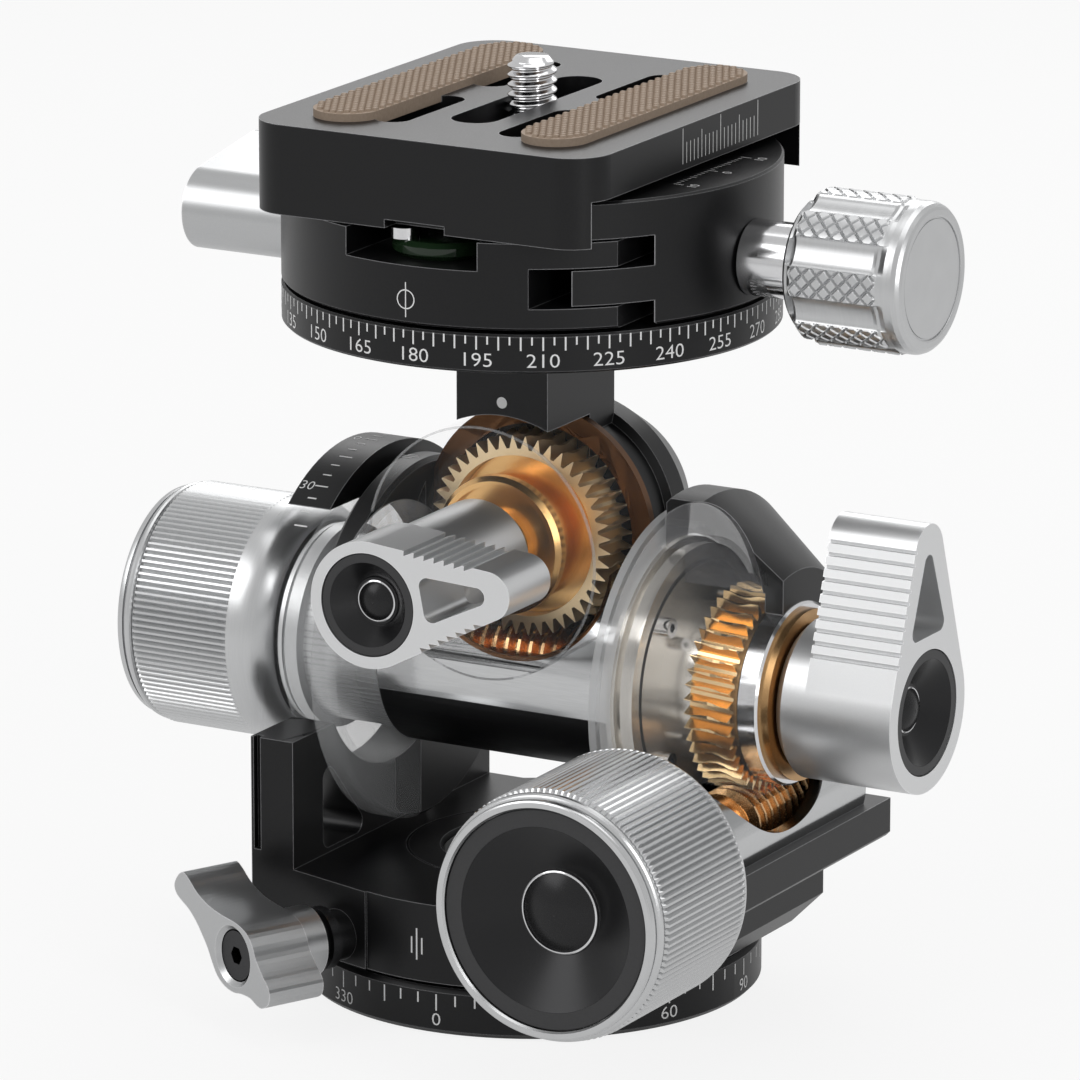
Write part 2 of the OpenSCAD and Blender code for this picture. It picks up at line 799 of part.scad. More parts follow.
module wing_knob() {
    color([0.72, 0.73, 0.74])
        at_wing() difference() {
            union() {
                rod_z(wing_hub_r, wing_z0, wing_z1 - edge);
                translate([0, 0, wing_z1 - wing_blade]) linear_extrude(wing_blade)
                    polygon(smooth_line(wing_shares, wing_smooth) * wing_reach);
            }
            rod_z(wing_shaft_r + 3 * fit, wing_z1 - wing_shaft_r, wing_z1 + over);
            turned([[wing_z1 - edge, 0], [wing_z1 - edge, wing_shaft_r + 3 * fit],
                [wing_z1 + edge, wing_shaft_r + 3 * fit + 2 * edge], [wing_z1 + edge, 0]]);
            rod_z(wing_shaft_r - wing_root, wing_z0 - over, wing_z1);
        }
}

module wing_screw() {
    color([0.25, 0.25, 0.27])
        at_wing() difference() {
            union() {
                rod_z(wing_shaft_r - fit, axle_r + shoe_len + gap, wing_z0);
                rod_z(wing_hub_r - edge, wing_z0 - 2 * wing_collar, wing_z0 - wing_collar);
                rod_z(wing_shaft_r - wing_root, wing_z0 - over, wing_z1 - wing_shaft_r + over);
                rod_z(wing_shaft_r - fit, wing_z1 - wing_shaft_r, wing_z1 - edge);
            }
            translate([0, 0, wing_z1 - wing_shaft_r]) cylinder(r = wing_hex, h = wing_shaft_r, $fn = 6);
        }
}

// Large drive knobs, built along Z with the face at zero

module knob_ring() {
    ribs = drive_ribs;
    difference() {
        union() {
            turned([[0, 0], [0, drive_knob_r - 2 * edge], [edge / 2, drive_knob_r - edge],
                [knob_rim / 2, drive_knob_r - edge], [knob_rim / 2, drive_knob_r - 2 * rib_depth],
                [knob_rim, drive_knob_r - 2 * rib_depth], [knob_rim, 0]]);
            turned([[knob_rim - over, 0], [knob_rim - over, drive_knob_r - 2 * rib_depth],
                [drive_knob_len - knob_rim, drive_knob_r - 2 * rib_depth],
                [drive_knob_len - knob_rim, drive_knob_r],
                [drive_knob_len - knob_rim / 2, drive_knob_r],
                [drive_knob_len, drive_knob_r - knob_rim / 2], [drive_knob_len, 0]]);
            translate([0, 0, knob_rim]) linear_extrude(drive_knob_len - 2 * knob_rim)
                polygon([for (i = [0:2 * ribs - 1])
                    let (r = drive_knob_r - rib_shy - (i % 2) * rib_depth, a = 180 * i / ribs)
                    [r * cos(a), r * sin(a)]]);
        }
        rod_z(dish_r + knob_rim / 2, -over, knob_rim / 2);
        rod_z(dish_r, -over, dish_depth + knob_rim);
        rod_z(worm_shaft_r, dish_depth, drive_knob_len + over);
        ring_z(dish_r + knob_rim / 2, worm_shaft_r + knob_rim,
            drive_knob_len - knob_back, drive_knob_len + over);
    }
}

module knob_dish() {
    difference() {
        turned([[edge, dish_r + knob_rim / 2], [knob_rim / 2, dish_r + knob_rim / 2], [knob_rim / 2, dish_r],
            [dish_depth + knob_rim, dish_r], [dish_depth + knob_rim, 0], [dish_depth, 0],
            [dish_depth, dome_r + edge], [edge, dish_lip]]);
        rod_z(dome_r / 2, dish_depth - over, dish_depth + knob_rim + over);
    }
}

module knob_dome() {
    translate([0, 0, dish_depth]) mirror([0, 0, 1]) dome(dome_r, dome_rise, 0);
    rod_z(dome_r / 2, dish_depth, dish_depth + knob_rim);
}

module pitch_knob_place() {
    at_pitch_worm() translate([0, pitch_knob_y0, 0]) rotate([-90, 0, 0]) children();
}
module roll_knob_place() {
    at_pitch() translate([roll_knob_x0, 0, 0]) rotate([0, 90, 0]) children();
}

module pitch_knob() { color([0.74, 0.75, 0.76]) pitch_knob_place() knob_ring(); }
module pitch_knob_dish() { color([0.05, 0.05, 0.06]) pitch_knob_place() knob_dish(); }
module pitch_knob_dome() { color([0.12, 0.12, 0.13]) pitch_knob_place() knob_dome(); }
module roll_knob() { color([0.74, 0.75, 0.76]) roll_knob_place() knob_ring(); }
module roll_knob_dish() { color([0.05, 0.05, 0.06]) roll_knob_place() knob_dish(); }
module roll_knob_dome() { color([0.12, 0.12, 0.13]) roll_knob_place() knob_dome(); }

module pitch_worm() {
    color([0.78, 0.5, 0.22])
        at_pitch_worm() {
            rotate([-90, 0, 0]) worm_thread(270, worm_len);
            rod_y(worm_shaft_r, worm_len / 2, sleeve_y1 - edge);
            rod_y(worm_shaft_r, pitch_knob_y0 + dish_depth + knob_rim, -worm_len / 2);
        }
}

module roll_worm() {
    color([0.78, 0.5, 0.22])
        at_pitch() {
            rotate([0, 90, 0]) worm_thread(180, worm_len);
            rod_x(worm_shaft_r, worm_len / 2, barrel_x1 - edge);
            rod_x(worm_shaft_r, roll_knob_x0 + dish_depth + knob_rim, -worm_len / 2);
        }
}

// Pitch lever on the right end of the pitch axis

module pitch_lever_outline() {
    difference() {
        teardrop(pitch_hub_r, pitch_tip_r, pitch_lever_reach);
        for (i = [0:9]) translate([-pitch_hub_r, 0]) polygon([
            [-over, rib_start + i * rib_pitch],
            [rib_x(rib_start + i * rib_pitch) + rib_cut, rib_start + i * rib_pitch],
            [rib_x(rib_start + i * rib_pitch) + rib_cut, rib_start + (i + 0.3) * rib_pitch],
            [-over, rib_start + (i + 0.9) * rib_pitch]]);
        soft_polygon([[-lever_window_w, lever_window_low], [lever_window_w, lever_window_low],
            [0, pitch_lever_reach - lever_window_r]], lever_window_r);
    }
}

// Distance of the lever's straight flank from the hub's side at a given height
function rib_x(h) =
    (h - pitch_hub_r * sin(flank_angle)) * tan(flank_angle) + pitch_hub_r * (1 - cos(flank_angle));

module pitch_lever() {
    color([0.74, 0.75, 0.76])
        at_pitch() difference() {
            union() {
                extrude_x(pitch_arm_x0, pitch_lever_x1) pitch_lever_outline();
                turned_x([[pitch_lever_x0, 0], [pitch_lever_x0, pitch_hub_r - 2 * edge],
                    [pitch_lever_x0 + 2 * edge, pitch_hub_r], [pitch_arm_x0, pitch_hub_r],
                    [pitch_arm_x0, 0]]);
            }
            rod_x(lever_dish_r, pitch_lever_x1 - lever_dish_depth, pitch_lever_x1 + over);
            rod_x(pitch_shaft_r + fit, pitch_lever_x0 - over, pitch_lever_x1 - lever_dish_depth - edge);
        }
}

module lever_dish(r, lip, depth, seat) {
    turned([[-depth, 0], [-depth, r], [0, r], [0, lip], [-depth + edge, seat + edge], [-depth + edge, 0]]);
}

module pitch_lever_dish() {
    color([0.05, 0.05, 0.06])
        at_pitch() translate([pitch_lever_x1, 0, 0]) rotate([0, 90, 0])
            lever_dish(lever_dish_r, lever_dish_lip, lever_dish_depth, lever_dome_r);
}
module pitch_lever_dome() {
    color([0.15, 0.15, 0.16])
        at_pitch() translate([pitch_lever_x1 - lever_dish_depth + edge, 0, 0]) rotate([0, 90, 0])
            dome(lever_dome_r, lever_dome_rise, 0);
}

// Tilt body: carries the roll stage and swings about the pitch axis

module tilt_cavities() {
    at_pitch() rod_x(sleeve_r, tilt_drum_x1, barrel_x1 + over);
    at_roll() {
        rod_y(wheel_pocket_r, -wheel_w / 2 - wheel_room, roll_back_y + over);
        rod_y(collar_r + wheel_room, roll_front_y + roll_wall, 0);
        rod_y(roll_shaft_r + fit, roll_front_y - over, rear_flange_y);
        rod_y(rear_disc_r + gap, rear_flange_y - gap, barrel_r + over);
    }
}

module tilt_housing() {
    color([0.09, 0.09, 0.1])
        difference() {
            union() {
                at_pitch() {
                    turned_x([[arm_outer, 0], [arm_outer, trunnion_r], [tilt_drum_x0, trunnion_r],
                        [tilt_drum_x0, tilt_drum_r - edge], [tilt_drum_x0 + edge, tilt_drum_r],
                        [tilt_drum_x1 - edge, tilt_drum_r], [tilt_drum_x1, tilt_drum_r - edge],
                        [tilt_drum_x1, 0]]);
                    rod_x(barrel_r, tilt_drum_x1 - over, barrel_x1);
                }
            }
            difference() {
                at_pitch() rod_x(barrel_r + over, tilt_drum_x1, barrel_x1 + over);
                block([tilt_drum_x1 - over, -barrel_r - over, 0],
                    [barrel_x1 + 2 * over, barrel_r + over, barrel_split_z]);
            }
            tilt_cavities();
            at_pitch() rod_x(bush_step_r, arm_outer - over, tilt_drum_x1 + over);
        }
}

module tilt_cover() {
    color([0.85, 0.87, 0.9, 0.4])
        difference() {
            union() {
                difference() {
                    at_pitch() rod_x(barrel_r, tilt_drum_x1, barrel_x1);
                    block([tilt_drum_x1 - over, -barrel_r - over, 0],
                        [barrel_x1 + over, barrel_r + over, barrel_split_z]);
                }
                difference() {
                    at_roll() rod_y(roll_housing_r, roll_front_y, roll_back_y);
                    at_pitch() rod_x(barrel_r - over, -roll_housing_r - over, roll_housing_r + over);
                    block([-roll_housing_r, roll_front_y - over, 0],
                        [roll_housing_r, roll_back_y + over, barrel_split_z + over]);
                    block([-roll_housing_r - over, roll_front_y - over, roll_z - roll_housing_r - over],
                        [tilt_drum_x1, roll_back_y + over, roll_z + roll_housing_r + over]);
                }
            }
            tilt_cavities();
        }
}

module roll_worm_sleeve() {
    color([0.8, 0.8, 0.82])
        difference() {
            at_pitch() ring_x(sleeve_r, sleeve_bore, tilt_drum_x1 - bearing_w, barrel_x1 + over);
            at_roll() rod_y(wheel_pocket_r, -wheel_w / 2 - wheel_room, wheel_w / 2 + wheel_room);
            at_roll() rod_y(rear_disc_r + gap, rear_flange_y - gap, barrel_r + over);
        }
}

module roll_worm_bush() {
    color([0.76, 0.77, 0.78])
        at_pitch() difference() {
            turned_x([[roll_bush_x0, 0], [roll_bush_x0, bush_neck_r - 2 * edge],
                [roll_bush_x0 + 2 * edge, bush_neck_r - 2 * edge], [roll_bush_x0 + 2 * edge, bush_neck_r],
                [bush_collar_x - 5 * edge, bush_neck_r], [bush_collar_x - 5 * edge, bush_collar_r - edge / 2],
                [bush_collar_x - 4 * edge, bush_collar_r - edge / 2], [bush_collar_x - 4 * edge, bush_step_r],
                [bush_collar_x - 3 * edge, bush_step_r], [bush_collar_x - 3 * edge, bush_collar_r],
                [bush_collar_x, bush_collar_r], [bush_collar_x, bush_step_r],
                [roll_bush_x1, bush_step_r], [roll_bush_x1, 0]]);
            rod_x(bush_bore_r, roll_bush_x1 - bearing_w / 2, roll_bush_x1 + over);
            rod_x(sleeve_r, tilt_drum_x1 - bearing_w, roll_bush_x1 + over);
            rod_x(sleeve_bore, roll_bush_x0 - over, roll_bush_x1 + over);
        }
}

module roll_worm_bearings() {
    color([0.7, 0.71, 0.73])
        at_pitch()
            for (x = [roll_knob_x1 + edge, barrel_x1 - bearing_w])
                ring_x(sleeve_bore, worm_shaft_r + fit, x, x + bearing_w);
}

module pitch_flange() {
    color([0.8, 0.81, 0.82])
        at_pitch() difference() {
            turned_x([[barrel_x1, 0], [barrel_x1, barrel_r], [flange_x0, barrel_r], [flange_x0, flange_r],
                [flange_x0 + flange_t / 3, flange_r], [flange_x0 + flange_t / 3, flange_r - 2 * edge],
                [flange_x0 + flange_t / 2, flange_r - 2 * edge], [flange_x0 + flange_t / 2, flange_r - edge],
                [flange_x1, flange_r - edge], [flange_x1, flange_neck_r], [hub_ring_x1 - edge, flange_neck_r],
                [hub_ring_x1 - edge, 0]]);
            rod_x(sleeve_r, barrel_x1 - over, barrel_x1 + over);
            rod_x(pitch_shaft_r, flange_x1, hub_ring_x1 + over);
            for (a = [45:90:315]) rotate([a, 0, 0]) translate([0, flange_bolt_r, 0])
                rod_x(flange_bolt_head_r, flange_x1 - edge, flange_x1 + over);
            seal_groove();
        }
}

module seal_groove() {
    translate([flange_x1 + seal_proud - seal_wire, 0, 0]) rotate([0, 90, 0])
        rotate_extrude() translate([seal_r, 0]) circle(r = seal_wire);
}

module flange_seal() {
    color([0.06, 0.06, 0.06]) at_pitch() seal_groove();
}

module flange_screws() {
    color([0.65, 0.66, 0.68])
        at_pitch() for (a = [45:90:315]) rotate([a, 0, 0]) translate([0, flange_bolt_r, 0]) difference() {
            rod_x(flange_bolt_head_r, flange_x1 - edge, flange_x1 + 2 * edge);
            translate([flange_x1, 0, 0]) rotate([0, 90, 0])
                cylinder(r = flange_bolt_head_r / 2, h = 2 * edge + over, $fn = 6);
        }
}

module pitch_wheel() {
    color([0.78, 0.5, 0.22])
        at_pitch() translate([pitch_gear_x, 0, 0]) rotate([0, 90, 0])
            worm_wheel(-wheel_w / 2, wheel_w / 2, flange_neck_r + fit);
}

module pitch_shaft() {
    color([0.7, 0.71, 0.73])
        at_pitch() rod_x(pitch_shaft_r, flange_x1, pitch_lever_x1 - lever_dish_depth - 2 * edge);
}

// Roll lever on the front end of the roll axis, built in X and Z

module roll_lever_outline() {
    difference() {
        rotate(-90 + roll_lever_tilt) teardrop(roll_head_r, roll_tip_r, roll_lever_reach);
        rotate(-90 + roll_lever_tilt) {
            soft_polygon([[-roll_window_w, roll_window_low], [roll_window_w, roll_window_low],
                [0, roll_lever_reach - roll_tip_r / 2]], lever_window_r);
            for (side = [0, 1]) mirror([side, 0]) for (i = [0:6])
                rotate(roll_flank) translate([roll_head_r, roll_rib_start + i * roll_rib_pitch])
                    polygon([[-rib_cut, 0], [over, 0],
                        [over, tooth_share * roll_rib_pitch * (rib_cut + over) / rib_cut]]);
        }
    }
}

module roll_lever() {
    color([0.76, 0.77, 0.78])
        at_roll() difference() {
            union() {
                extrude_y(roll_lever_y0, roll_arm_y1) roll_lever_outline();
                rod_y(roll_hub_r, roll_arm_y1, roll_lever_y1);
            }
            rod_y(roll_dish_r, roll_lever_y0 - over, roll_lever_y0 + roll_dish_depth);
            rod_y(roll_shaft_r + fit, roll_shaft_y0 - gap, roll_lever_y1 + over);
        }
}

module roll_lever_dish() {
    color([0.05, 0.05, 0.06])
        at_roll() translate([0, roll_lever_y0, 0]) rotate([90, 0, 0])
            lever_dish(roll_dish_r, roll_dish_lip, roll_dish_depth, roll_dome_r);
}
module roll_lever_dome() {
    color([0.15, 0.15, 0.16])
        at_roll() translate([0, roll_lever_y0 + roll_dish_depth - edge, 0]) rotate([90, 0, 0])
            dome(roll_dome_r, roll_dome_rise, 0);
}

// Upper bracket, turning about the roll axis

module upper_bracket() {
    color([0.09, 0.09, 0.1])
        difference() {
            union() {
                block([-neck_half, neck_y0, neck_z0], [neck_half, neck_y1, ring_z]);
                block([-neck_half, rear_arm_y, roll_z + rear_arm_low], [neck_half, neck_y1, neck_z0 + over]);
                at_roll() turned_y([[rear_flange_y, 0], [rear_flange_y, rear_flange_r],
                    [rear_disc_y0, rear_flange_r], [rear_disc_y0 + edge, rear_disc_r],
                    [rear_disc_y1, rear_disc_r],
                    [rear_end_y, rear_end_r], [rear_end_y, 0]]);
            }
            at_roll() rod_y(neck_clear_r, neck_y0 - over, rear_arm_y);
            at_roll() rod_y(roll_shaft_r, 0, rear_disc_y1);
        }
}

module roll_wheel() {
    color([0.85, 0.66, 0.38])
        at_roll() rotate([-90, 0, 0]) worm_wheel(-wheel_w / 2, wheel_w / 2, wheel_rim_r + fit);
}

module roll_hub() {
    color([0.85, 0.66, 0.38])
        at_roll() difference() {
            turned_y([[collar_y0, roll_shaft_r], [collar_y0, collar_r - edge], [collar_y0 + edge, collar_r],
                [collar_y0 + 3 * edge, collar_r], [collar_y0 + 4 * edge, collar_r - edge],
                [wheel_web_y, collar_r - edge], [wheel_web_y, wheel_rim_r], [wheel_w / 2, wheel_rim_r],
                [wheel_w / 2, roll_shaft_r]]);
            ring_y(roll_hub_r + edge, roll_shaft_r + edge, collar_y0 - over, collar_y0 + 2 * edge);
        }
}

module roll_shaft() {
    color([0.7, 0.71, 0.73])
        at_roll() rod_y(roll_shaft_r, roll_shaft_y0, rear_disc_y1);
}

module clamp_scale_ring() {
    color([0.08, 0.08, 0.09])
        difference() {
            turned(bevelled(ring_z, ring_z + ring_h, clamp_r, edge / 2));
            rod_z(clamp_axle_r, ring_z - over, ring_z + ring_h + over);
        }
}

module clamp_axle() {
    color([0.7, 0.71, 0.73])
        rod_z(clamp_axle_r, ring_z, clamp_axle_top);
}

// Clamp

module clamp_disc() {
    turned(bevelled(clamp_z0, clamp_top, clamp_r, edge / 2));
}

module channel_outline(play) {
    half = dovetail_w / 2 + play;
    polygon([[-half, channel_z], [half, channel_z], [half, plate_z0 + foot_h],
        [half - bevel_h, plate_z0 + foot_h + bevel_h],
        [half - bevel_h, clamp_top + over], [-half + bevel_h, clamp_top + over],
        [-half + bevel_h, plate_z0 + foot_h + bevel_h], [-half, plate_z0 + foot_h]]);
}

module clamp_body() {
    color([0.08, 0.08, 0.09])
        difference() {
            clamp_disc();
            extrude_y(-clamp_r - over, clamp_r + over) channel_outline(grip_play);
            block([finger_x, -clamp_r - over, clamp_z0 - over],
                [clamp_r + over, clamp_r + over, clamp_top + over]);
            block([dovetail_w / 2 - bevel_h, -clamp_r - over, channel_z],
                [clamp_r + over, clamp_r + over, clamp_top + over]);
            block([slot_x, -clamp_r - over, clamp_z0 + slot_low],
                [clamp_r + over, clamp_r + over, clamp_z0 + slot_high]);
            rod_z(clamp_axle_r + fit, clamp_z0 - over, clamp_axle_top + gap);
            translate([0, 0, screw_z]) rod_x(screw_r + fit, clamp_axle_r + screw_inner, finger_x + over);
            block([-level_half, -clamp_r - over, level_z], [level_half, level_back_y, channel_z + over]);
            translate([0, 0, pan_lever_z]) rod_x(pan_screw_r, -clamp_r - over, -clamp_axle_r);
            jaw_ends();
        }
}

// Room at both ends of the jaws for the plate's end stops
module jaw_ends() {
    for (side = [0, 1]) mirror([0, side, 0])
        block([-clamp_r - over, stop_y - gap - stop_play, channel_z],
            [clamp_r + over, clamp_r + over, clamp_top + over]);
}

module level_vial() {
    color([0.1, 0.22, 0.08])
        translate([0, vial_y, level_z]) intersection() {
            turned(bevelled(0, vial_h, vial_r, edge));
            translate([0, vial_h - vial_ball, 0]) rod_z(vial_ball, 0, vial_h);
        }
}

module level_pin() {
    color([0.8, 0.81, 0.82])
        translate([pin_x, pin_y, 0]) rod_z(pin_r, level_z + vial_h, channel_z - fit);
}

module pan_lever() {
    color([0.74, 0.75, 0.76])
        translate([0, 0, pan_lever_z]) difference() {
            extrude_x(pan_lever_x0, pan_lever_x1)
                rotate(-90 + pan_lever_rise) teardrop(pan_hub_r, pan_tip_r, pan_reach);
            rod_x(pan_screw_r - fit, pan_lever_x0 + 4 * edge, pan_lever_x1 + over);
        }
}

module pan_lock_screw() {
    color([0.5, 0.51, 0.53])
        translate([0, 0, pan_lever_z]) rod_x(pan_screw_r - fit, pan_lever_x0 + 4 * edge, -clamp_axle_r - gap);
}

module clamp_jaw() {
    half = dovetail_w / 2 + grip_play;
    color([0.08, 0.08, 0.09])
        difference() {
            union() {
                intersection() {
                    clamp_disc();
                    union() {
                        block([jaw_x, -clamp_r, clamp_z0 - over], [clamp_r, clamp_r, clamp_top + over]);
                        block([half - bevel_h, -clamp_r, channel_z + gap],
                            [clamp_r, clamp_r, clamp_top + over]);
                        for (side = [-1, 1]) intersection() {
                            block([tongue_x, -clamp_r, clamp_z0 + slot_low + gap],
                                [clamp_r, clamp_r, clamp_z0 + slot_high - gap]);
                            translate([0, side * clamp_r, 0])
                                cube([4 * clamp_r, 2 * (clamp_r - tongue_half_w), 8 * clamp_r], center = true);
                        }
                    }
                }
            }
            extrude_y(-clamp_r - over, clamp_r + over) channel_outline(grip_play);
            jaw_ends();
            translate([0, 0, screw_z]) rod_x(screw_r + fit, jaw_x - over, clamp_r + over);
        }
}

module clamp_knob() {
    color([0.74, 0.75, 0.76])
        translate([0, 0, screw_z]) difference() {
            turned_x([[clamp_knob_x0, 0], [clamp_knob_x0, clamp_knob_r - 4 * edge],
                [clamp_knob_x0 + 2 * edge, clamp_knob_r - 2 * edge], [clamp_knob_x0 + 3 * edge, clamp_knob_r],
                [clamp_knob_x1 - 3 * edge, clamp_knob_r], [clamp_knob_x1, clamp_knob_r - 2 * edge],
                [clamp_knob_x1, clamp_knob_r - 4 * edge], [clamp_knob_x1 - edge / 2, clamp_knob_r - 5 * edge],
                [clamp_knob_x1 - edge, 0]]);
            for (i = [0:flutes - 1]) rotate([(i + 0.5) * 360 / flutes, 0, 0])
                translate([0, 0, clamp_knob_r + flute_r / 2])
                    rod_x(flute_r, clamp_knob_x0 - over, clamp_knob_x1 - 5 * edge);
            rod_x(screw_r, clamp_knob_x0 - over, clamp_knob_x1 - 6 * edge);
        }
}

module clamp_screw() {
    color([0.7, 0.71, 0.73])
        translate([0, 0, screw_z]) {
            rod_x(screw_r, clamp_axle_r + screw_inner + jaw_travel, clamp_knob_x1 - 6 * edge);
            turned_x([[clamp_r + fit, 0], [clamp_r + fit, screw_head_r], [clamp_knob_x0 - fit, screw_head_r],
                [clamp_knob_x0 - fit, 0]]);
        }
}

// Quick-release plate

module plate_profile() {
    half = dovetail_w / 2;
    w = plate_w / 2;
    polygon([[-half, plate_z0], [half, plate_z0], [half, plate_z0 + foot_h],
        [half - bevel_h, plate_z0 + foot_h + bevel_h], [half - bevel_h, plate_z0 + lip_h],
        [w, plate_z0 + lip_h], [w, plate_z1], [-w, plate_z1], [-w, plate_z0 + lip_h],
        [-half + bevel_h, plate_z0 + lip_h], [-half + bevel_h, plate_z0 + foot_h + bevel_h],
        [-half, plate_z0 + foot_h]]);
}

module plate_slots() {
    slot_y(plate_slot_half, slot_front, slot_rear);
    for (side = [-1, 1]) {
        for (end = [0, 1]) translate([side * side_slot_x, -side_slot_half / 5]) mirror([0, end])
            slot_y(side_slot_half, side_slot_y0, side_slot_y1);
    }
}

module quick_plate() {
    color([0.07, 0.07, 0.08])
        difference() {
            intersection() {
                union() {
                    extrude_y(-plate_len / 2, plate_len / 2) plate_profile();
                    for (side = [0, 1]) mirror([0, side, 0])
                        block([-plate_w / 2, stop_y, plate_z0], [plate_w / 2, plate_len / 2, plate_z1]);
                }
                translate([0, 0, plate_z0])
                    linear_extrude(plate_t) soft_rect(plate_w, plate_len, plate_corner);
            }
            translate([0, 0, plate_z0 - over]) linear_extrude(plate_t + 2 * over) plate_slots();
            translate([0, 0, plate_z0 - over]) linear_extrude(screw_well + over)
                slot_y(plate_slot_half + slot_border, slot_front - slot_border, slot_rear + slot_border);
            for (side = [-1, 1]) translate([side * (strip_x0 + strip_x1) / 2, 0, plate_z1 - strip_sink])
                linear_extrude(strip_sink + over) slot_y((strip_x1 - strip_x0) / 2, -strip_half, strip_half);
            block([-stop_notch_half, -plate_len / 2 - over, plate_z0 - over],
                [stop_notch_half, -stop_y + over, plate_z0 + edge + over]);
        }
}

module grip_strips() {
    color([0.62, 0.52, 0.44])
        for (side = [-1, 1]) translate([side * (strip_x0 + strip_x1) / 2, 0, plate_z1 - strip_sink])
            linear_extrude(strip_sink + strip_rise)
                slot_y((strip_x1 - strip_x0) / 2, -strip_half, strip_half);
}

module camera_screw() {
    color([0.85, 0.86, 0.87])
        difference() {
            union() {
                turned([[plate_z0 + screw_head_z, 0], [plate_z0 + screw_head_z, shank_r],
                    [plate_z1 + gap, shank_r], [plate_z1 + gap, camera_screw_r],
                    [camera_screw_top - edge / 2, camera_screw_r],
                    [camera_screw_top, camera_screw_r - edge / 2], [camera_screw_top, 0]]);
                rod_z(screw_head_w, plate_z0 + screw_head_z, plate_z0 + screw_well - fit);
            }
            translate([0, 0, plate_z0]) cylinder(r = screw_key_r, h = screw_head_z + screw_key_r, $fn = 6);
            translate([0, 0, camera_screw_top - screw_socket_h])
                cylinder(r = screw_socket_r, h = 2 * screw_socket_h, $fn = 6);
        }
}

base_disc();
tripod_bush();
pan_slide_ring();
pan_axle_cap();
pan_retaining_nut();
bracket();
pan_brake_shoe();
pitch_gear_cover();
pitch_worm_sleeve();
pitch_worm_bearings();
pitch_hub_ring();
pitch_thrust_ring();
wing_knob();
wing_screw();
pitch_knob();
pitch_knob_dish();
pitch_knob_dome();
pitch_worm();
pitch_lever();
pitch_lever_dish();
pitch_lever_dome();
tilt_housing();
tilt_cover();
roll_worm_sleeve();
roll_worm_bush();
roll_worm_bearings();
pitch_flange();
flange_seal();
flange_screws();
pitch_wheel();
pitch_shaft();
roll_knob();
roll_knob_dish();
roll_knob_dome();
roll_worm();
roll_lever();
roll_lever_dish();
roll_lever_dome();
upper_bracket();
roll_wheel();
roll_hub();
roll_shaft();
clamp_scale_ring();
clamp_axle();
clamp_body();
level_vial();
level_pin();
pan_lever();
pan_lock_screw();
clamp_jaw();
clamp_knob();
clamp_screw();
quick_plate();
grip_strips();
camera_screw();
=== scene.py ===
"""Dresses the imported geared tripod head: materials, engraved scales, knurls, threads, strips, light and camera."""
import math

import bmesh
import bpy
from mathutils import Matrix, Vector


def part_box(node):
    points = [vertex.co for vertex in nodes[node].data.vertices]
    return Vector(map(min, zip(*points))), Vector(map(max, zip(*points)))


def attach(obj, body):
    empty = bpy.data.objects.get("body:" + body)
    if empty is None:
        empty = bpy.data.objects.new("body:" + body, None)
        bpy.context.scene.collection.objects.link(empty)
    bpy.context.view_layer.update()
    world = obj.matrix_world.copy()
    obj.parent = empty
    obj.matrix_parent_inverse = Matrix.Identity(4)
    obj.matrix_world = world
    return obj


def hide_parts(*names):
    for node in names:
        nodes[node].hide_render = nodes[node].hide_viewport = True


MM = 0.001
CORNERS = ((-1, -1), (1, -1), (1, 1), (-1, 1))

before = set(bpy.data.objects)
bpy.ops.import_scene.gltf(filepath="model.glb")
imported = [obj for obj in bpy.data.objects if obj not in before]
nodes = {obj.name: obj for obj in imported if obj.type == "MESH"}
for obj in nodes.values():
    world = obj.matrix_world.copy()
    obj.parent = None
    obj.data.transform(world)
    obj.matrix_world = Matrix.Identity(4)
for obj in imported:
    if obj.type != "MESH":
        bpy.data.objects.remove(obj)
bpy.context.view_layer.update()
scene = bpy.context.scene

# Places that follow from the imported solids, in millimetres; a name that ends in _Z is in metres
PITCH_MM, ROLL_MM = 43.0, 59.4
PITCH_Z = PITCH_MM * MM
KNOB_AXIS_MM = 99.35
FRONT_KNOB_AXIS, FRONT_KNOB_FACE, LEFT_KNOB_FACE = (32.6, 26.6), -55.0, -54.0
PITCH_LEVER_FACE, ROLL_LEVER_FACE = 57.4, -42.0
KNOB_BACK = 23.0
SHARP_ANGLE = math.radians(24)


# ---------------------------------------------------------------- materials

def new_material(name):
    mat = bpy.data.materials.new(name)
    mat.use_nodes = True
    tree = mat.node_tree
    shader = tree.nodes["Principled BSDF"]
    return mat, tree, shader


def link(tree, a, b):
    tree.links.new(a, b)


def object_coords(tree, scale=(1, 1, 1)):
    coords = tree.nodes.new("ShaderNodeTexCoord")
    mapping = tree.nodes.new("ShaderNodeMapping")
    mapping.inputs["Scale"].default_value = scale
    link(tree, coords.outputs["Object"], mapping.inputs["Vector"])
    return mapping.outputs["Vector"]


def noise(tree, vector, scale, detail=2.0):
    node = tree.nodes.new("ShaderNodeTexNoise")
    node.inputs["Scale"].default_value = scale
    node.inputs["Detail"].default_value = detail
    link(tree, vector, node.inputs["Vector"])
    return node.outputs["Fac"]


def spread(tree, value, low, high):
    node = tree.nodes.new("ShaderNodeMapRange")
    node.inputs["To Min"].default_value = low
    node.inputs["To Max"].default_value = high
    link(tree, value, node.inputs["Value"])
    return node.outputs["Result"]


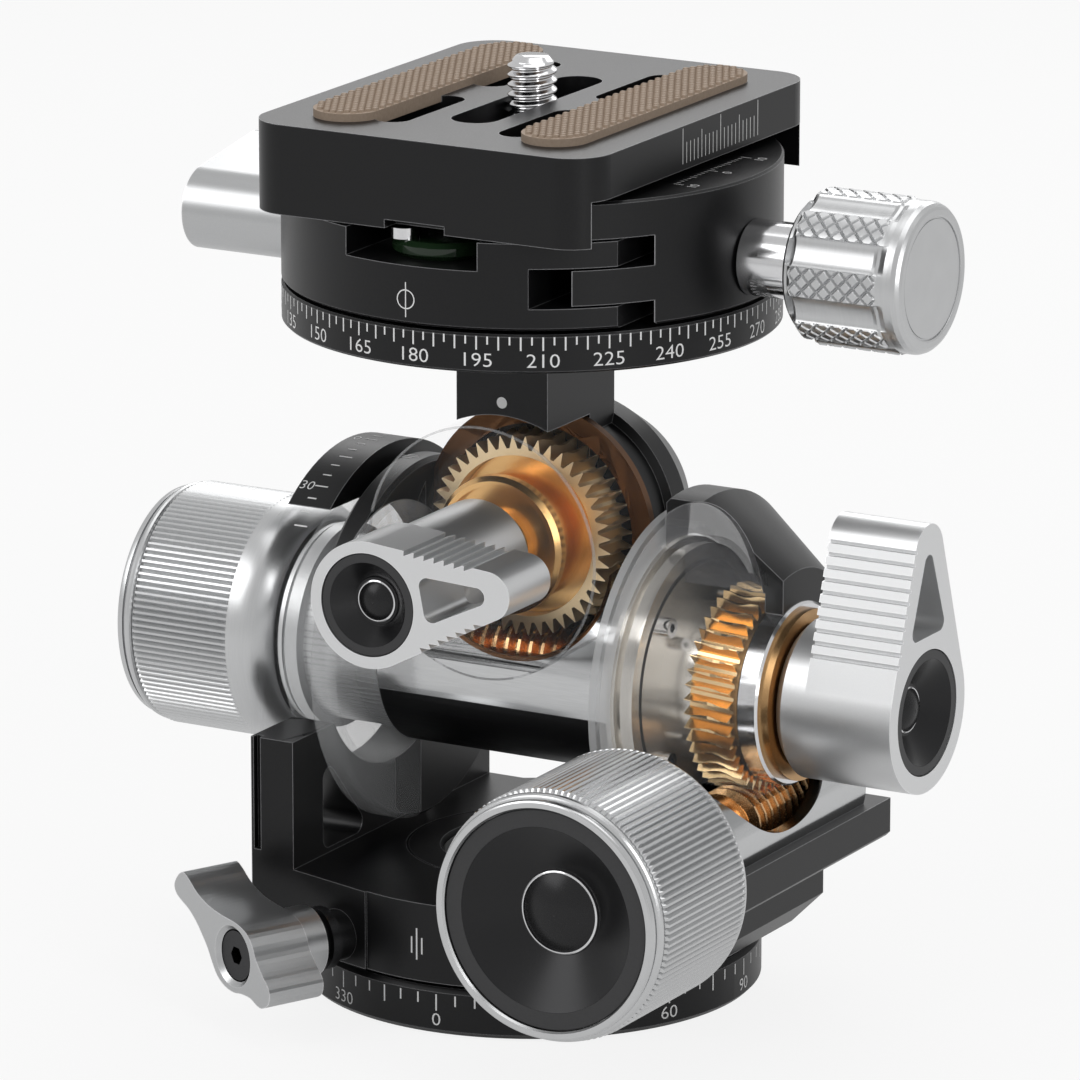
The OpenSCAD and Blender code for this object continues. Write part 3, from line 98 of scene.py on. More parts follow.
def bump(tree, shader, height, strength, distance, radius=0.0):
    """Fine relief, on normals that turn softly round the sharp edges where a radius is given."""
    node = tree.nodes.new("ShaderNodeBump")
    node.inputs["Strength"].default_value = strength
    node.inputs["Distance"].default_value = distance
    link(tree, height, node.inputs["Height"])
    if radius:
        rounded = tree.nodes.new("ShaderNodeBevel")
        rounded.samples = 4
        rounded.inputs["Radius"].default_value = radius
        link(tree, rounded.outputs["Normal"], node.inputs["Normal"])
    link(tree, node.outputs["Normal"], shader.inputs["Normal"])


def tint(tree, value, dark, light):
    node = tree.nodes.new("ShaderNodeMix")
    node.data_type = "RGBA"
    node.inputs["A"].default_value = (*dark, 1)
    node.inputs["B"].default_value = (*light, 1)
    link(tree, value, node.inputs["Factor"])
    return node.outputs["Result"]


def metal(name, dark, light, rough, metallic=1.0, grain=(1, 1, 1), grain_scale=6000.0, spread_rough=0.05,
          bump_strength=0.05, radius=0.0, cloud=0.0, turned=None):
    """Metal whose fine grain runs along the axis with the smallest scale, and which may be turned about an axis."""
    mat, tree, shader = new_material(name)
    fine = noise(tree, object_coords(tree, grain), grain_scale)
    color = tint(tree, fine, dark, light)
    if cloud:
        wide = noise(tree, object_coords(tree), 90.0, 3.0)
        mix = tree.nodes.new("ShaderNodeMix")
        mix.data_type, mix.blend_type = "RGBA", "MULTIPLY"
        mix.inputs["Factor"].default_value = 1.0
        link(tree, color, mix.inputs["A"])
        link(tree, tint(tree, wide, (1 - cloud,) * 3, (1 + cloud,) * 3), mix.inputs["B"])
        color = mix.outputs["Result"]
    link(tree, color, shader.inputs["Base Color"])
    link(tree, spread(tree, fine, rough - spread_rough, rough + spread_rough), shader.inputs["Roughness"])
    shader.inputs["Metallic"].default_value = metallic
    bump(tree, shader, fine, bump_strength, 0.00002, radius)
    if turned:
        round_ = tree.nodes.new("ShaderNodeTangent")
        round_.direction_type, round_.axis = "RADIAL", turned
        shader.inputs["Anisotropic"].default_value = 0.75
        link(tree, round_.outputs["Tangent"], shader.inputs["Tangent"])
    return mat


def clear(name, color, rough, alpha, metallic=0.0):
    mat, tree, shader = new_material(name)
    soft = noise(tree, object_coords(tree), 120.0)
    link(tree, spread(tree, soft, max(0.0, rough - 0.02), rough + 0.02), shader.inputs["Roughness"])
    shader.inputs["Base Color"].default_value = (*color, 1)
    shader.inputs["Metallic"].default_value = metallic
    shader.inputs["Alpha"].default_value = alpha
    shader.inputs["IOR"].default_value = 1.45
    return mat


EDGE_RADIUS = 0.22 * MM


def painted_edge_highlight(mat, color, gain=3.0, radius=EDGE_RADIUS):
    """Brightens sharp edges with a painted highlight: the base colour turns to the edge colour where the rounded normal
    leaves the true one.
    """
    tree = mat.node_tree
    shader = tree.nodes["Principled BSDF"]
    rounded = tree.nodes.new("ShaderNodeBevel")
    rounded.samples = 6
    rounded.inputs["Radius"].default_value = radius
    plain = tree.nodes.new("ShaderNodeNewGeometry")
    dot = tree.nodes.new("ShaderNodeVectorMath")
    dot.operation = "DOT_PRODUCT"
    link(tree, rounded.outputs["Normal"], dot.inputs[0])
    link(tree, plain.outputs["Normal"], dot.inputs[1])
    away = tree.nodes.new("ShaderNodeMath")
    away.operation = "MULTIPLY_ADD"
    away.inputs[1].default_value = -gain
    away.inputs[2].default_value = gain * 0.995
    away.use_clamp = True
    link(tree, dot.outputs["Value"], away.inputs[0])
    base = shader.inputs["Base Color"].links[0].from_socket
    mix = tree.nodes.new("ShaderNodeMix")
    mix.data_type = "RGBA"
    mix.inputs["B"].default_value = (*color, 1)
    link(tree, base, mix.inputs["A"])
    link(tree, away.outputs[0], mix.inputs["Factor"])
    link(tree, mix.outputs["Result"], shader.inputs["Base Color"])
    return mat


# Each edge colour passed in the calls below is a painted highlight on the sharp edges.
black = painted_edge_highlight(metal("anodised_black", (0.004, 0.004, 0.0045), (0.010, 0.010, 0.011), 0.36, metallic=0.45,
                           grain_scale=5200.0, bump_strength=0.30), (0.34, 0.34, 0.35), 4.0)
black_face = metal("anodised_black_face", (0.034, 0.034, 0.035), (0.048, 0.048, 0.050), 0.50, metallic=0.3,
                   grain_scale=5200.0, bump_strength=0.30)
SILVER_DARK, SILVER_LIGHT = (0.54, 0.545, 0.55), (0.61, 0.615, 0.62)
silver = painted_edge_highlight(metal("satin_silver", (0.46, 0.465, 0.47), (0.53, 0.535, 0.54), 0.30, grain_scale=7000.0,
                            spread_rough=0.03), (0.92, 0.92, 0.93), 3.0, 0.3 * MM)
silver_x = metal("satin_silver_turned_x", SILVER_DARK, SILVER_LIGHT, 0.30, grain=(1, 0.05, 0.05))
silver_y = metal("satin_silver_turned_y", SILVER_DARK, SILVER_LIGHT, 0.24, grain=(0.05, 1, 0.05))
lever_silver = painted_edge_highlight(metal("satin_silver_lever", (0.68, 0.685, 0.69), (0.74, 0.745, 0.75), 0.34, metallic=0.86,
                                  grain_scale=7000.0, spread_rough=0.02, bump_strength=0.03), (0.97, 0.97, 0.98), 3.0)
# Light, warm tone is painted light: it stands for the flange's bright sheen and for the bronze wheel's reflection in
# it.
flange_silver = metal("satin_flange", (0.78, 0.75, 0.70), (0.86, 0.83, 0.78), 0.20, metallic=0.80)
# Lighter copy of the turned silver, so that the bush inside the dark cavity reads bright: painted light.
bush_silver = metal("bush_silver", (0.60, 0.605, 0.61), (0.68, 0.685, 0.69), 0.36, grain=(1, 0.05, 0.05))
tube = metal("polished_tube", (0.50, 0.505, 0.51), (0.62, 0.625, 0.63), 0.16, grain=(0.05, 1, 1), spread_rough=0.03)
polished = metal("polished_silver", (0.64, 0.64, 0.65), (0.76, 0.76, 0.77), 0.13, spread_rough=0.03)
steel = metal("ground_steel", (0.40, 0.41, 0.42), (0.52, 0.53, 0.54), 0.25)
dark_steel = metal("dark_steel", (0.03, 0.03, 0.032), (0.06, 0.06, 0.062), 0.35)
bronze = painted_edge_highlight(metal("gear_bronze", (0.88, 0.61, 0.31), (0.96, 0.71, 0.40), 0.22, cloud=0.08),
                      (1.0, 0.90, 0.68), 3.0, 0.09 * MM)
copper = painted_edge_highlight(metal("worm_bronze", (0.74, 0.44, 0.21), (0.86, 0.54, 0.28), 0.26, cloud=0.08),
                      (1.0, 0.86, 0.62), 3.0, 0.09 * MM)
gold = painted_edge_highlight(metal("pale_gold", (0.86, 0.66, 0.40), (0.95, 0.76, 0.49), 0.38, cloud=0.05),
                    (1.0, 0.92, 0.74), 3.0, 0.09 * MM)
ring_brown = metal("worn_bronze", (0.42, 0.25, 0.11), (0.56, 0.34, 0.16), 0.30)
hub_gold = metal("hub_bronze", (0.78, 0.45, 0.17), (0.88, 0.55, 0.24), 0.24, grain=(0.05, 1, 0.05))
# Dark brown on the cover's pocket wall and on its back behind the housing: painted shade in place of the cover's
# silver.
pocket_brown = metal("pocket_wall_painted_shade", (0.10, 0.045, 0.018), (0.17, 0.08, 0.035), 0.35, metallic=0.8)
nylon = metal("nylon", (0.66, 0.65, 0.61), (0.74, 0.73, 0.7), 0.5, metallic=0.0)
rubber = metal("seal_rubber", (0.012, 0.012, 0.012), (0.02, 0.02, 0.02), 0.6, metallic=0.0)
gloss_x = metal("turned_black_x", (0.010, 0.010, 0.011), (0.016, 0.016, 0.017), 0.24, metallic=0.5,
                spread_rough=0.03, turned="X")
gloss_y = metal("turned_black_y", (0.010, 0.010, 0.011), (0.016, 0.016, 0.017), 0.24, metallic=0.5,
                spread_rough=0.03, turned="Y")
dome_black = metal("polished_black_dome", (0.012, 0.012, 0.013), (0.018, 0.018, 0.019), 0.27, metallic=0.5,
                   spread_rough=0.02)
vial_glass = clear("level_glass", (0.012, 0.028, 0.012), 0.05, 1.0)
ghost = clear("ghost_cover", (0.80, 0.82, 0.84), 0.12, 0.025)
pale_ghost = clear("pale_ghost", (0.72, 0.73, 0.74), 0.30, 0.22)
ring_ghost = clear("ring_ghost", (0.80, 0.81, 0.82), 0.25, 0.42)
smoke = clear("smoke_ghost", (0.20, 0.20, 0.21), 0.30, 0.28)
ink = metal("engraved_white", (0.80, 0.80, 0.80), (0.88, 0.88, 0.88), 0.5, metallic=0.0)
tan = metal("tan_rubber", (0.30, 0.225, 0.165), (0.42, 0.325, 0.25), 0.7, metallic=0.0, grain_scale=2400.0,
            bump_strength=0.4, cloud=0.05)

looks = {
    "base_disc": black, "tripod_bush": steel, "pan_slide_ring": nylon, "pan_axle_cap": black,
    "pan_retaining_nut": silver, "bracket": black, "pan_brake_shoe": bronze, "pitch_gear_cover": ghost,
    "pitch_worm_sleeve": tube, "pitch_worm_bearings": polished, "pitch_hub_ring": polished,
    "pitch_thrust_ring": ring_brown, "wing_knob": silver, "wing_screw": dark_steel, "pitch_knob": silver_y,
    "pitch_knob_dish": gloss_y, "pitch_knob_dome": dome_black, "pitch_worm": copper, "pitch_lever": lever_silver,
    "pitch_lever_dish": gloss_x, "pitch_lever_dome": dome_black, "tilt_housing": black, "tilt_cover": ghost,
    "roll_worm_sleeve": tube, "roll_worm_bush": bush_silver, "roll_worm_bearings": polished,
    "pitch_flange": flange_silver, "flange_seal": rubber, "flange_screws": polished, "pitch_wheel": bronze,
    "pitch_shaft": polished, "roll_knob": silver_x, "roll_knob_dish": gloss_x, "roll_knob_dome": dome_black,
    "roll_worm": copper, "roll_lever": lever_silver, "roll_lever_dish": gloss_y, "roll_lever_dome": dome_black,
    "upper_bracket": black, "roll_wheel": gold, "roll_hub": hub_gold, "roll_shaft": polished,
    "clamp_scale_ring": black, "clamp_axle": steel, "clamp_body": black, "level_vial": vial_glass,
    "level_pin": polished, "pan_lever": silver, "pan_lock_screw": steel, "clamp_jaw": black,
    "clamp_knob": silver_x, "clamp_screw": polished, "quick_plate": black, "grip_strips": tan,
    "camera_screw": polished,
}
for name, mat in looks.items():
    obj = nodes[name]
    obj.data.materials.clear()
    obj.data.materials.append(mat)


# ---------------------------------------------------------------- see-through parts

def mesh_object(name, mesh):
    obj = bpy.data.objects.new(name, mesh)
    scene.collection.objects.link(obj)
    return obj


def rod_shape(axis, centre, radius, low, high, lean=(0, 0), steps=160):
    """Closed cylinder along X (0) or Y (1) in millimetres; its centre in the two other axes moves by lean."""
    points = []
    for along in (low, high):
        for i in range(steps):
            t = 2 * math.pi * (i + 0.37) / steps
            a = centre[0] + lean[0] * (along - low) + radius * math.cos(t)
            b = centre[1] + lean[1] * (along - low) + radius * math.sin(t)
            points.append(Vector((along, a, b) if axis == 0 else (a, along, b)) * MM)
    faces = [(i, (i + 1) % steps, steps + (i + 1) % steps, steps + i) for i in range(steps)]
    faces += [tuple(range(steps))[::-1], tuple(range(steps, 2 * steps))]
    if axis == 1:
        faces = [f[::-1] for f in faces]
    mesh = bpy.data.meshes.new("cutter")
    mesh.from_pydata(points, [], faces)
    return mesh_object("cutter", mesh)


def block_shape(low, high):
    """Closed box between two corners in millimetres."""
    points = [Vector((x, y, z)) * MM for x in (low[0], high[0]) for y in (low[1], high[1]) for z in (low[2], high[2])]
    faces = [(0, 1, 3, 2), (4, 6, 7, 5), (0, 4, 5, 1), (2, 3, 7, 6), (0, 2, 6, 4), (1, 5, 7, 3)]
    mesh = bpy.data.meshes.new("cutter")
    mesh.from_pydata(points, [], faces)
    return mesh_object("cutter", mesh)


def cut_piece(name, node, steps, material, body, slot, replaces=False):
    """A copy of a node's solid after cuts, each an operation and a shape."""
    source = nodes[node]
    mesh = source.data.copy()
    mesh.transform(source.matrix_world)
    custom = mesh.attributes.get("custom_normal")
    if custom:
        mesh.attributes.remove(custom)
    welded = bmesh.new()
    welded.from_mesh(mesh)
    bmesh.ops.remove_doubles(welded, verts=welded.verts, dist=5e-7)
    welded.to_mesh(mesh)
    welded.free()
    obj = mesh_object(name, mesh)
    for operation, shape in steps:
        cut = obj.modifiers.new("cut", "BOOLEAN")
        cut.operation, cut.solver, cut.object = operation, "EXACT", shape
    view = bpy.context.evaluated_depsgraph_get()
    done = bpy.data.meshes.new_from_object(obj.evaluated_get(view))
    obj.modifiers.clear()
    obj.data = done
    done.materials.clear()
    done.materials.append(material)
    done.polygons.foreach_set("material_index", [0] * len(done.polygons))
    done.polygons.foreach_set("use_smooth", [True] * len(done.polygons))
    done.set_sharp_from_angle(angle=SHARP_ANGLE)
    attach(obj, body)
    if replaces:
        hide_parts(node)


def joined_shape(a, operation, b):
    """The first shape after an operation with the second, which stays as its cutter."""
    cut = a.modifiers.new("joined", "BOOLEAN")
    cut.operation, cut.solver, cut.object = operation, "EXACT", b
    return a


# Borders of the see-through regions in millimetres; a lean follows the camera's view through a window
PITCH_AXIS = (0, PITCH_MM)
TRUNNION_R, DRUM_LEFT, DRUM_RIGHT = 17.35, -19.52, -15.55
BARREL_R, BARREL_LEFT, BARREL_RIGHT = 13.5, -15.58, 20.5
POCKET_CENTRE, POCKET_R, POCKET_FRONT, POCKET_BACK, POCKET_WALL = (4.8, 61.2), 14.6, -14, -0.5, 0.5
DRUM_LEAN, POCKET_LEAN = (-1.77, 0.547), (-0.566, -0.306)
RING_LEFT, RING_RIGHT, RING_R = 20, 21.75, 22.3

arm_front = block_shape((-28, -26.5, 34.3), (-20.6, 0, 63))
trunnion = rod_shape(0, PITCH_AXIS, TRUNNION_R, -28, DRUM_LEFT)
drum_front = block_shape((DRUM_LEFT, -25, 15), (DRUM_RIGHT, -2, 50))
drum_disc = rod_shape(0, (-2.62, 43.81), TRUNNION_R, DRUM_LEFT, DRUM_RIGHT, DRUM_LEAN)
drum_window = joined_shape(drum_disc, "UNION", drum_front)
barrel = rod_shape(0, PITCH_AXIS, BARREL_R, BARREL_LEFT, BARREL_RIGHT)
pocket_window = rod_shape(1, POCKET_CENTRE, POCKET_R, POCKET_FRONT, POCKET_BACK, POCKET_LEAN)
pocket_wall = rod_shape(1, POCKET_CENTRE, POCKET_R + POCKET_WALL, -14.2, -0.4, POCKET_LEAN)
cut_barrel = joined_shape(rod_shape(0, PITCH_AXIS, BARREL_R, BARREL_LEFT, BARREL_RIGHT), "DIFFERENCE", pocket_window)
housing_back = block_shape((-20, 1.6, 35), (20, 4, 80))
pale_ring = block_shape((RING_LEFT, -30, 10), (RING_RIGHT, 30, 80))
ring_room_limit = block_shape((21.4, -40, 48), (40.0, 40, 70))
ring_room = joined_shape(rod_shape(0, PITCH_AXIS, RING_R, 21.5, 39.0, DRUM_LEAN), "INTERSECT", ring_room_limit)
worm_window = rod_shape(0, (-5, PITCH_MM), 16.5, 24, 41.2)
INSIDE, OUTSIDE = "INTERSECT", "DIFFERENCE"

# Name, node, cuts, material, body, slot and whether the piece stands for the node
BRACKET, TILT = "bracket_body", "tilt_body"
CUT_PIECES = (
    ("bracket_black", "bracket", [(OUTSIDE, arm_front), (OUTSIDE, ring_room)], black, BRACKET, "black", True),
    ("bracket_ghost", "bracket", [(INSIDE, arm_front)], ghost, BRACKET, "clear", False),
    ("bracket_ring_room", "bracket", [(INSIDE, ring_room)], smoke, BRACKET, "clear", False),
    ("housing_black", "tilt_housing", [(OUTSIDE, trunnion), (OUTSIDE, drum_window), (OUTSIDE, pocket_window)],
     black, TILT, "black", True),
    ("housing_trunnion", "tilt_housing", [(INSIDE, trunnion)], pale_ghost, TILT, "clear", False),
    ("housing_drum", "tilt_housing", [(INSIDE, drum_window)], pale_ghost, TILT, "clear", False),
    ("cover_tube", "tilt_cover", [(INSIDE, barrel), (OUTSIDE, pocket_wall)], tube, TILT, "silver", True),
    ("cover_pocket", "tilt_cover", [(INSIDE, cut_barrel), (INSIDE, pocket_wall)], pocket_brown, TILT, "bronze", False),
    ("cover_front", "tilt_cover", [(OUTSIDE, cut_barrel), (OUTSIDE, housing_back)], ghost, TILT, "clear", False),
    ("cover_back", "tilt_cover", [(OUTSIDE, barrel), (INSIDE, housing_back)], pocket_brown, TILT, "bronze", False),
    ("roll_sleeve", "roll_worm_sleeve", [(OUTSIDE, pocket_window)], tube, TILT, "silver", True),
    ("gear_ring", "pitch_gear_cover", [(INSIDE, pale_ring)], ring_ghost, BRACKET, "clear", True),
    ("gear_cover", "pitch_gear_cover", [(OUTSIDE, pale_ring)], ghost, BRACKET, "clear", False),
    ("worm_sleeve", "pitch_worm_sleeve", [(OUTSIDE, worm_window)], tube, BRACKET, "silver", True))
for cut in CUT_PIECES:
    cut_piece(*cut)
for shape in (arm_front, trunnion, drum_window, drum_front, barrel, cut_barrel, pocket_window, pocket_wall,
              housing_back, pale_ring, ring_room, ring_room_limit, worm_window):
    bpy.data.objects.remove(shape)


# ---------------------------------------------------------------- engraved scales

INK_LIFT = 0.02 * MM
INK_WIDTH = 0.22 * MM
CAP_HEIGHT = 0.69  # of the built-in font's numerals at size 1


class Marks:
    """Collects flat marks in (u, v) and lays them on a surface that a place(u, v) function gives."""

    def __init__(self, name, place, body):
        self.name, self.place, self.body = name, place, body
        self.points, self.faces = [], []

    def patch(self, corners):
        start = len(self.points)
        self.points += [self.place(u, v) for u, v in corners]
        self.faces.append(tuple(range(start, start + len(corners))))

    def line(self, a, b, width=INK_WIDTH):
        (u0, v0), (u1, v1) = a, b
        length = math.hypot(u1 - u0, v1 - v0)
        du, dv = -(v1 - v0) / length * width / 2, (u1 - u0) / length * width / 2
        self.patch([(u0 - du, v0 - dv), (u1 - du, v1 - dv), (u1 + du, v1 + dv), (u0 + du, v0 + dv)][::-1])

    def circle(self, centre, radius, width=INK_WIDTH, steps=40):
        for i in range(steps):
            a, b = (2 * math.pi * k / steps for k in (i, i + 1))
            ring = [(radius + s * width / 2, t) for s, t in ((-1, a), (1, a), (1, b), (-1, b))]
            self.patch([(centre[0] + r * math.cos(t), centre[1] + r * math.sin(t)) for r, t in ring])

    def disc(self, centre, radius, steps=32):
        self.patch([(centre[0] + radius * math.cos(2 * math.pi * i / steps),
                     centre[1] + radius * math.sin(2 * math.pi * i / steps)) for i in range(steps)])

    def text(self, word, centre, height, turn=0.0, stretch=1.0):
        data = bpy.data.curves.new("numeral", "FONT")
        data.body = word
        data.align_x, data.align_y = "CENTER", "CENTER"
        data.resolution_u = 3
        data.offset = -0.006
        glyph = bpy.data.objects.new("numeral", data)
        mesh = bpy.data.meshes.new_from_object(glyph)
        scale = height / CAP_HEIGHT
        base = len(self.points)
        cos, sin = math.cos(turn), math.sin(turn)
        for v in mesh.vertices:
            x, y = v.co.x * scale * stretch, v.co.y * scale
            self.points.append(self.place(centre[0] + x * cos - y * sin, centre[1] + x * sin + y * cos))
        self.faces += [tuple(base + i for i in p.vertices) for p in mesh.polygons]
        bpy.data.objects.remove(glyph)
        bpy.data.curves.remove(data)
        bpy.data.meshes.remove(mesh)

    def build(self, material):
        mesh = bpy.data.meshes.new(self.name)
        mesh.from_pydata(self.points, [], self.faces)
        obj = mesh_object(self.name, mesh)
        mesh.materials.append(material)
        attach(obj, self.body)


def round_z(radius):
    """Places (u, v) on a cylinder about the pan axis: u runs along the arc from the front to the right, v is height."""
    r = radius + INK_LIFT
    return lambda u, v: (r * math.sin(u / radius), -r * math.cos(u / radius), v)


def round_x(radius, height):
    """Places (u, v) on a cylinder about X: u runs up the arc from the front, v is the place on X."""
    r = radius + INK_LIFT
    return lambda u, v: (v, -r * math.cos(u / radius), height + r * math.sin(u / radius))


def flat_y(y):
    return lambda u, v: (u, y - INK_LIFT, v)


def flat_z(z):
    return lambda u, v: (u, v, z + INK_LIFT)


def flat_x(x):
    return lambda u, v: (x + INK_LIFT, u, v)


def ring_scale(name, body, radius, zero, sign_step, tick_step, number_step, top, tick, long_tick, digits_z,
               digit_height, turn=0):
    marks = Marks(name, round_z(radius), body)
    count = round(360 / tick_step)
    for i in range(count):
        angle = i * tick_step
        u = math.radians(zero + angle) * radius
        is_long = angle % sign_step == 0
        marks.line((u, top - (long_tick if is_long else tick)), (u, top))
        if angle % number_step == 0:
            marks.text(str(round((angle + turn) % 360)), (u, digits_z), digit_height, stretch=1.15)
    marks.build(ink)


BASE_R, CLAMP_R = 30 * MM, 32.17 * MM
RING_Z = 88.05 * MM

ring_scale("base_scale", "base", BASE_R, 5.3, 15, 5, 30, 5.35 * MM, 1.4 * MM, 2.2 * MM, 1.9 * MM, 1.65 * MM)
ring_scale("clamp_scale", "roll_body", CLAMP_R, 1.9, 5, 2.5, 15, RING_Z + 4.75 * MM, 1.05 * MM, 1.75 * MM,
           RING_Z + 1.6 * MM, 1.75 * MM, turn=180)

index = Marks("pan_index", round_z(BASE_R), "bracket_body")
for u, low, high in ((-0.75, 10.4, 12.6), (0, 9.6, 13.8), (0.75, 10.4, 12.6)):
    index.line((u * MM, low * MM), (u * MM, high * MM))
index.build(ink)

clamp_index = Marks("clamp_index", round_z(CLAMP_R), "clamp_carrier")
clamp_index.line((0, 94.4 * MM), (0, 98.9 * MM), INK_WIDTH * 0.7)
clamp_index.circle((0, 96.7 * MM), 1.2 * MM, INK_WIDTH * 0.7)
clamp_index.build(ink)

neck_dot = Marks("roll_index_dot", flat_y(-7.9 * MM), "roll_body")
neck_dot.disc((0, 78.1 * MM), 0.75 * MM)
neck_dot.build(ink)

# Tilt scale on the left arm's arch: ticks along X and numbers beside them
ARM_R = 25.5 * MM
arch = Marks("tilt_scale", round_x(ARM_R, PITCH_Z), "bracket_body")
for i in range(-9, 10):
    u = math.radians(90 + i * 5) * ARM_R
    far = -23.1 if i % 3 == 0 else -23.7
    arch.line((u, -25.0 * MM), (u, far * MM))
    if i % 6 == 0:
        arch.text(str(abs(i * 5)), (u, -26.1 * MM), 1.5 * MM, turn=math.pi / 2)
arch.build(ink)

DRUM_R = 24 * MM
drum = Marks("tilt_index", round_x(DRUM_R, PITCH_Z), "tilt_body")
for step, low, high in ((-0.75, -19.0, -17.6), (0, -19.3, -16.9), (0.75, -19.0, -17.6)):
    u = math.radians(90) * DRUM_R + step * MM
    drum.line((u, low * MM), (u, high * MM))
drum.build(ink)

# Ruled lines on the plate's right side
plate_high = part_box("quick_plate")[1]
ruler = Marks("plate_ruler", flat_x(plate_high.x), "plate_body")
for i in range(21):
    y = (-5.8 + i * 1.0) * MM
    height = 4.6 if i % 10 == 0 else 3.6 if i % 5 == 0 else 2.7
    ruler.line((y, 111.6 * MM), (y, (111.6 + height) * MM), INK_WIDTH * 0.6)
ruler.build(ink)

# Vernier on the jaw's top
jaw_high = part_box("clamp_jaw")[1]
vernier = Marks("jaw_vernier", flat_z(jaw_high.z), "jaw_body")
for i in range(-10, 11):
    y = i * 0.9 * MM
    vernier.line((25.4 * MM, y), ((26.9 if i % 10 == 0 else 26.3 if i % 5 == 0 else 26.0) * MM, y), INK_WIDTH * 0.6)
    if i % 10 == 0:
        vernier.text(str(abs(i)), (28.3 * MM, y), 1.3 * MM, turn=math.pi / 2)
vernier.build(ink)


# ---------------------------------------------------------------- threads, knurls and strips

def mesh_piece(name, points, faces, material, body, smooth=False, replaces=()):
    mesh = bpy.data.meshes.new(name)
    mesh.from_pydata(points, [], faces)
    mesh.validate()
    obj = mesh_object(name, mesh)
    mesh.materials.append(material)
    if smooth:
        mesh.polygons.foreach_set("use_smooth", [True] * len(mesh.polygons))
    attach(obj, body)
    if replaces:
        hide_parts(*replaces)
    return obj


def turned_field(rows, steps, radius, place):
    """Closed skin round an axis: rows are places along it, radius(row, angle) its radius, place(t, a, b) a point."""
    points, faces = [], []
    for row in rows:
        for i in range(steps):
            angle = 2 * math.pi * i / steps
            r = radius(row, angle)
            points.append(place(row[0], r * math.cos(angle), r * math.sin(angle)))
    for k in range(len(rows) - 1):
        for i in range(steps):
            j = (i + 1) % steps
            faces.append((k * steps + i, k * steps + j, (k + 1) * steps + j, (k + 1) * steps + i))
    faces.append(tuple(range(steps))[::-1])
    last = (len(rows) - 1) * steps
    faces.append(tuple(last + i for i in range(steps)))
    return points, faces


# Drive knobs and the black inserts of knobs and levers, as rings turned from a profile in millimetres
RIBS, RIB_DEPTH = 118, 0.5
RIB_PARTS, PLAIN_STEPS = (0, 0.34, 0.67), 192


def lathed(name, loop, place, material, body, replaces=()):
    """Ring from rows of (place along the axis, radius, groove share); the last row meets the first."""
    ribbed = any(len(row) > 2 for row in loop)
    turns = ([(i + part) / RIBS for i in range(RIBS) for part in RIB_PARTS] if ribbed else
             [i / PLAIN_STEPS for i in range(PLAIN_STEPS)])
    steps = len(turns)
    points, faces = [], []
    for row in loop:
        for i, turn in enumerate(turns):
            r = row[1] - (RIB_DEPTH * row[2] if len(row) > 2 and i % 3 == 2 else 0)
            angle = 2 * math.pi * turn
            points.append(Vector(place(row[0], r * math.cos(angle), r * math.sin(angle))) * MM)
    for k in range(len(loop)):
        n = (k + 1) % len(loop)
        for i in range(steps):
            j = (i + 1) % steps
            faces.append((k * steps + i, k * steps + j, n * steps + j, n * steps + i))
    obj = mesh_piece(name, points, faces, material, body, True, replaces)
    skin = bmesh.new()
    skin.from_mesh(obj.data)
    bmesh.ops.recalc_face_normals(skin, faces=skin.faces)
    skin.to_mesh(obj.data)
    skin.free()
    obj.data.set_sharp_from_angle(angle=SHARP_ANGLE)


# Places (t, a, b) for a depth t behind a face and a point (a, b) round its axis
def front_knob_place(t, a, b):
    return FRONT_KNOB_AXIS[0] + a, FRONT_KNOB_FACE + t, FRONT_KNOB_AXIS[1] + b


def left_knob_place(t, a, b):
    return LEFT_KNOB_FACE + t, a, PITCH_MM + b


def pitch_lever_place(t, a, b):
    return PITCH_LEVER_FACE - t, a, PITCH_MM + b


def roll_lever_place(t, a, b):
    return a, ROLL_LEVER_FACE + t, ROLL_MM + b


# Seat of the insert, face ring, groove, bead and second groove
KNOB_FACE = [(6.8, 3.0), (6.8, 12.4), (1.3, 12.4), (1.3, 14.2), (0.3, 14.2), (0.0, 14.4), (0.0, 15.05), (0.12, 15.25),
             (0.35, 15.35), (0.85, 15.35), (0.9, 15.0), (1.15, 15.0), (1.2, 15.35), (1.35, 15.65), (1.6, 15.85),
             (1.9, 15.92), (2.2, 15.82), (2.4, 15.6), (2.45, 15.4), (2.6, 15.4)]
# Groove share at distances before the ribs' end
RUN_OUT = [(0.75, 1.0), (0.5, 0.94), (0.3, 0.8), (0.15, 0.6), (0.05, 0.35), (0.0, 0.0)]


def knob_skin(rib_end, tail):
    """Profile of a drive knob whose ribs end at a depth, followed by its tail."""
    ribs = [(2.65, 15.7, 0.2), (2.95, 16.15, 1.0)]
    ribs += [(rib_end - along, 16.18, share) for along, share in RUN_OUT]
    return [(t, r, 0.0) for t, r in KNOB_FACE] + ribs + [(t, r, 0.0) for t, r in tail]


# From the back recess to the bore
KNOB_TAIL = [(KNOB_BACK, 13.65), (17, 13.65), (17, 5.6), (KNOB_BACK, 5.6), (KNOB_BACK, 3.0)]
FRONT_TAIL = [(22.95, 16.12), (KNOB_BACK, 16.0), (KNOB_BACK, 14.3), *KNOB_TAIL]
LEFT_TAIL = [(17.6, 16.19), (18.8, 16.14), (20, 16.0), (20.8, 15.68), (21.5, 15.2), (22.2, 14.65), (22.7, 14.15),
             (22.9, 13.85), (KNOB_BACK, 13.6), (22.8, 13.4), (17, 13.4), *KNOB_TAIL[2:]]
lathed("front_knob_ribbed", knob_skin(22.7, FRONT_TAIL), front_knob_place, silver_y, "pitch_knob_body",
       ["pitch_knob"])
lathed("left_knob_ribbed", knob_skin(17.2, LEFT_TAIL), left_knob_place, silver_x, "roll_knob_body",
       ["roll_knob"])

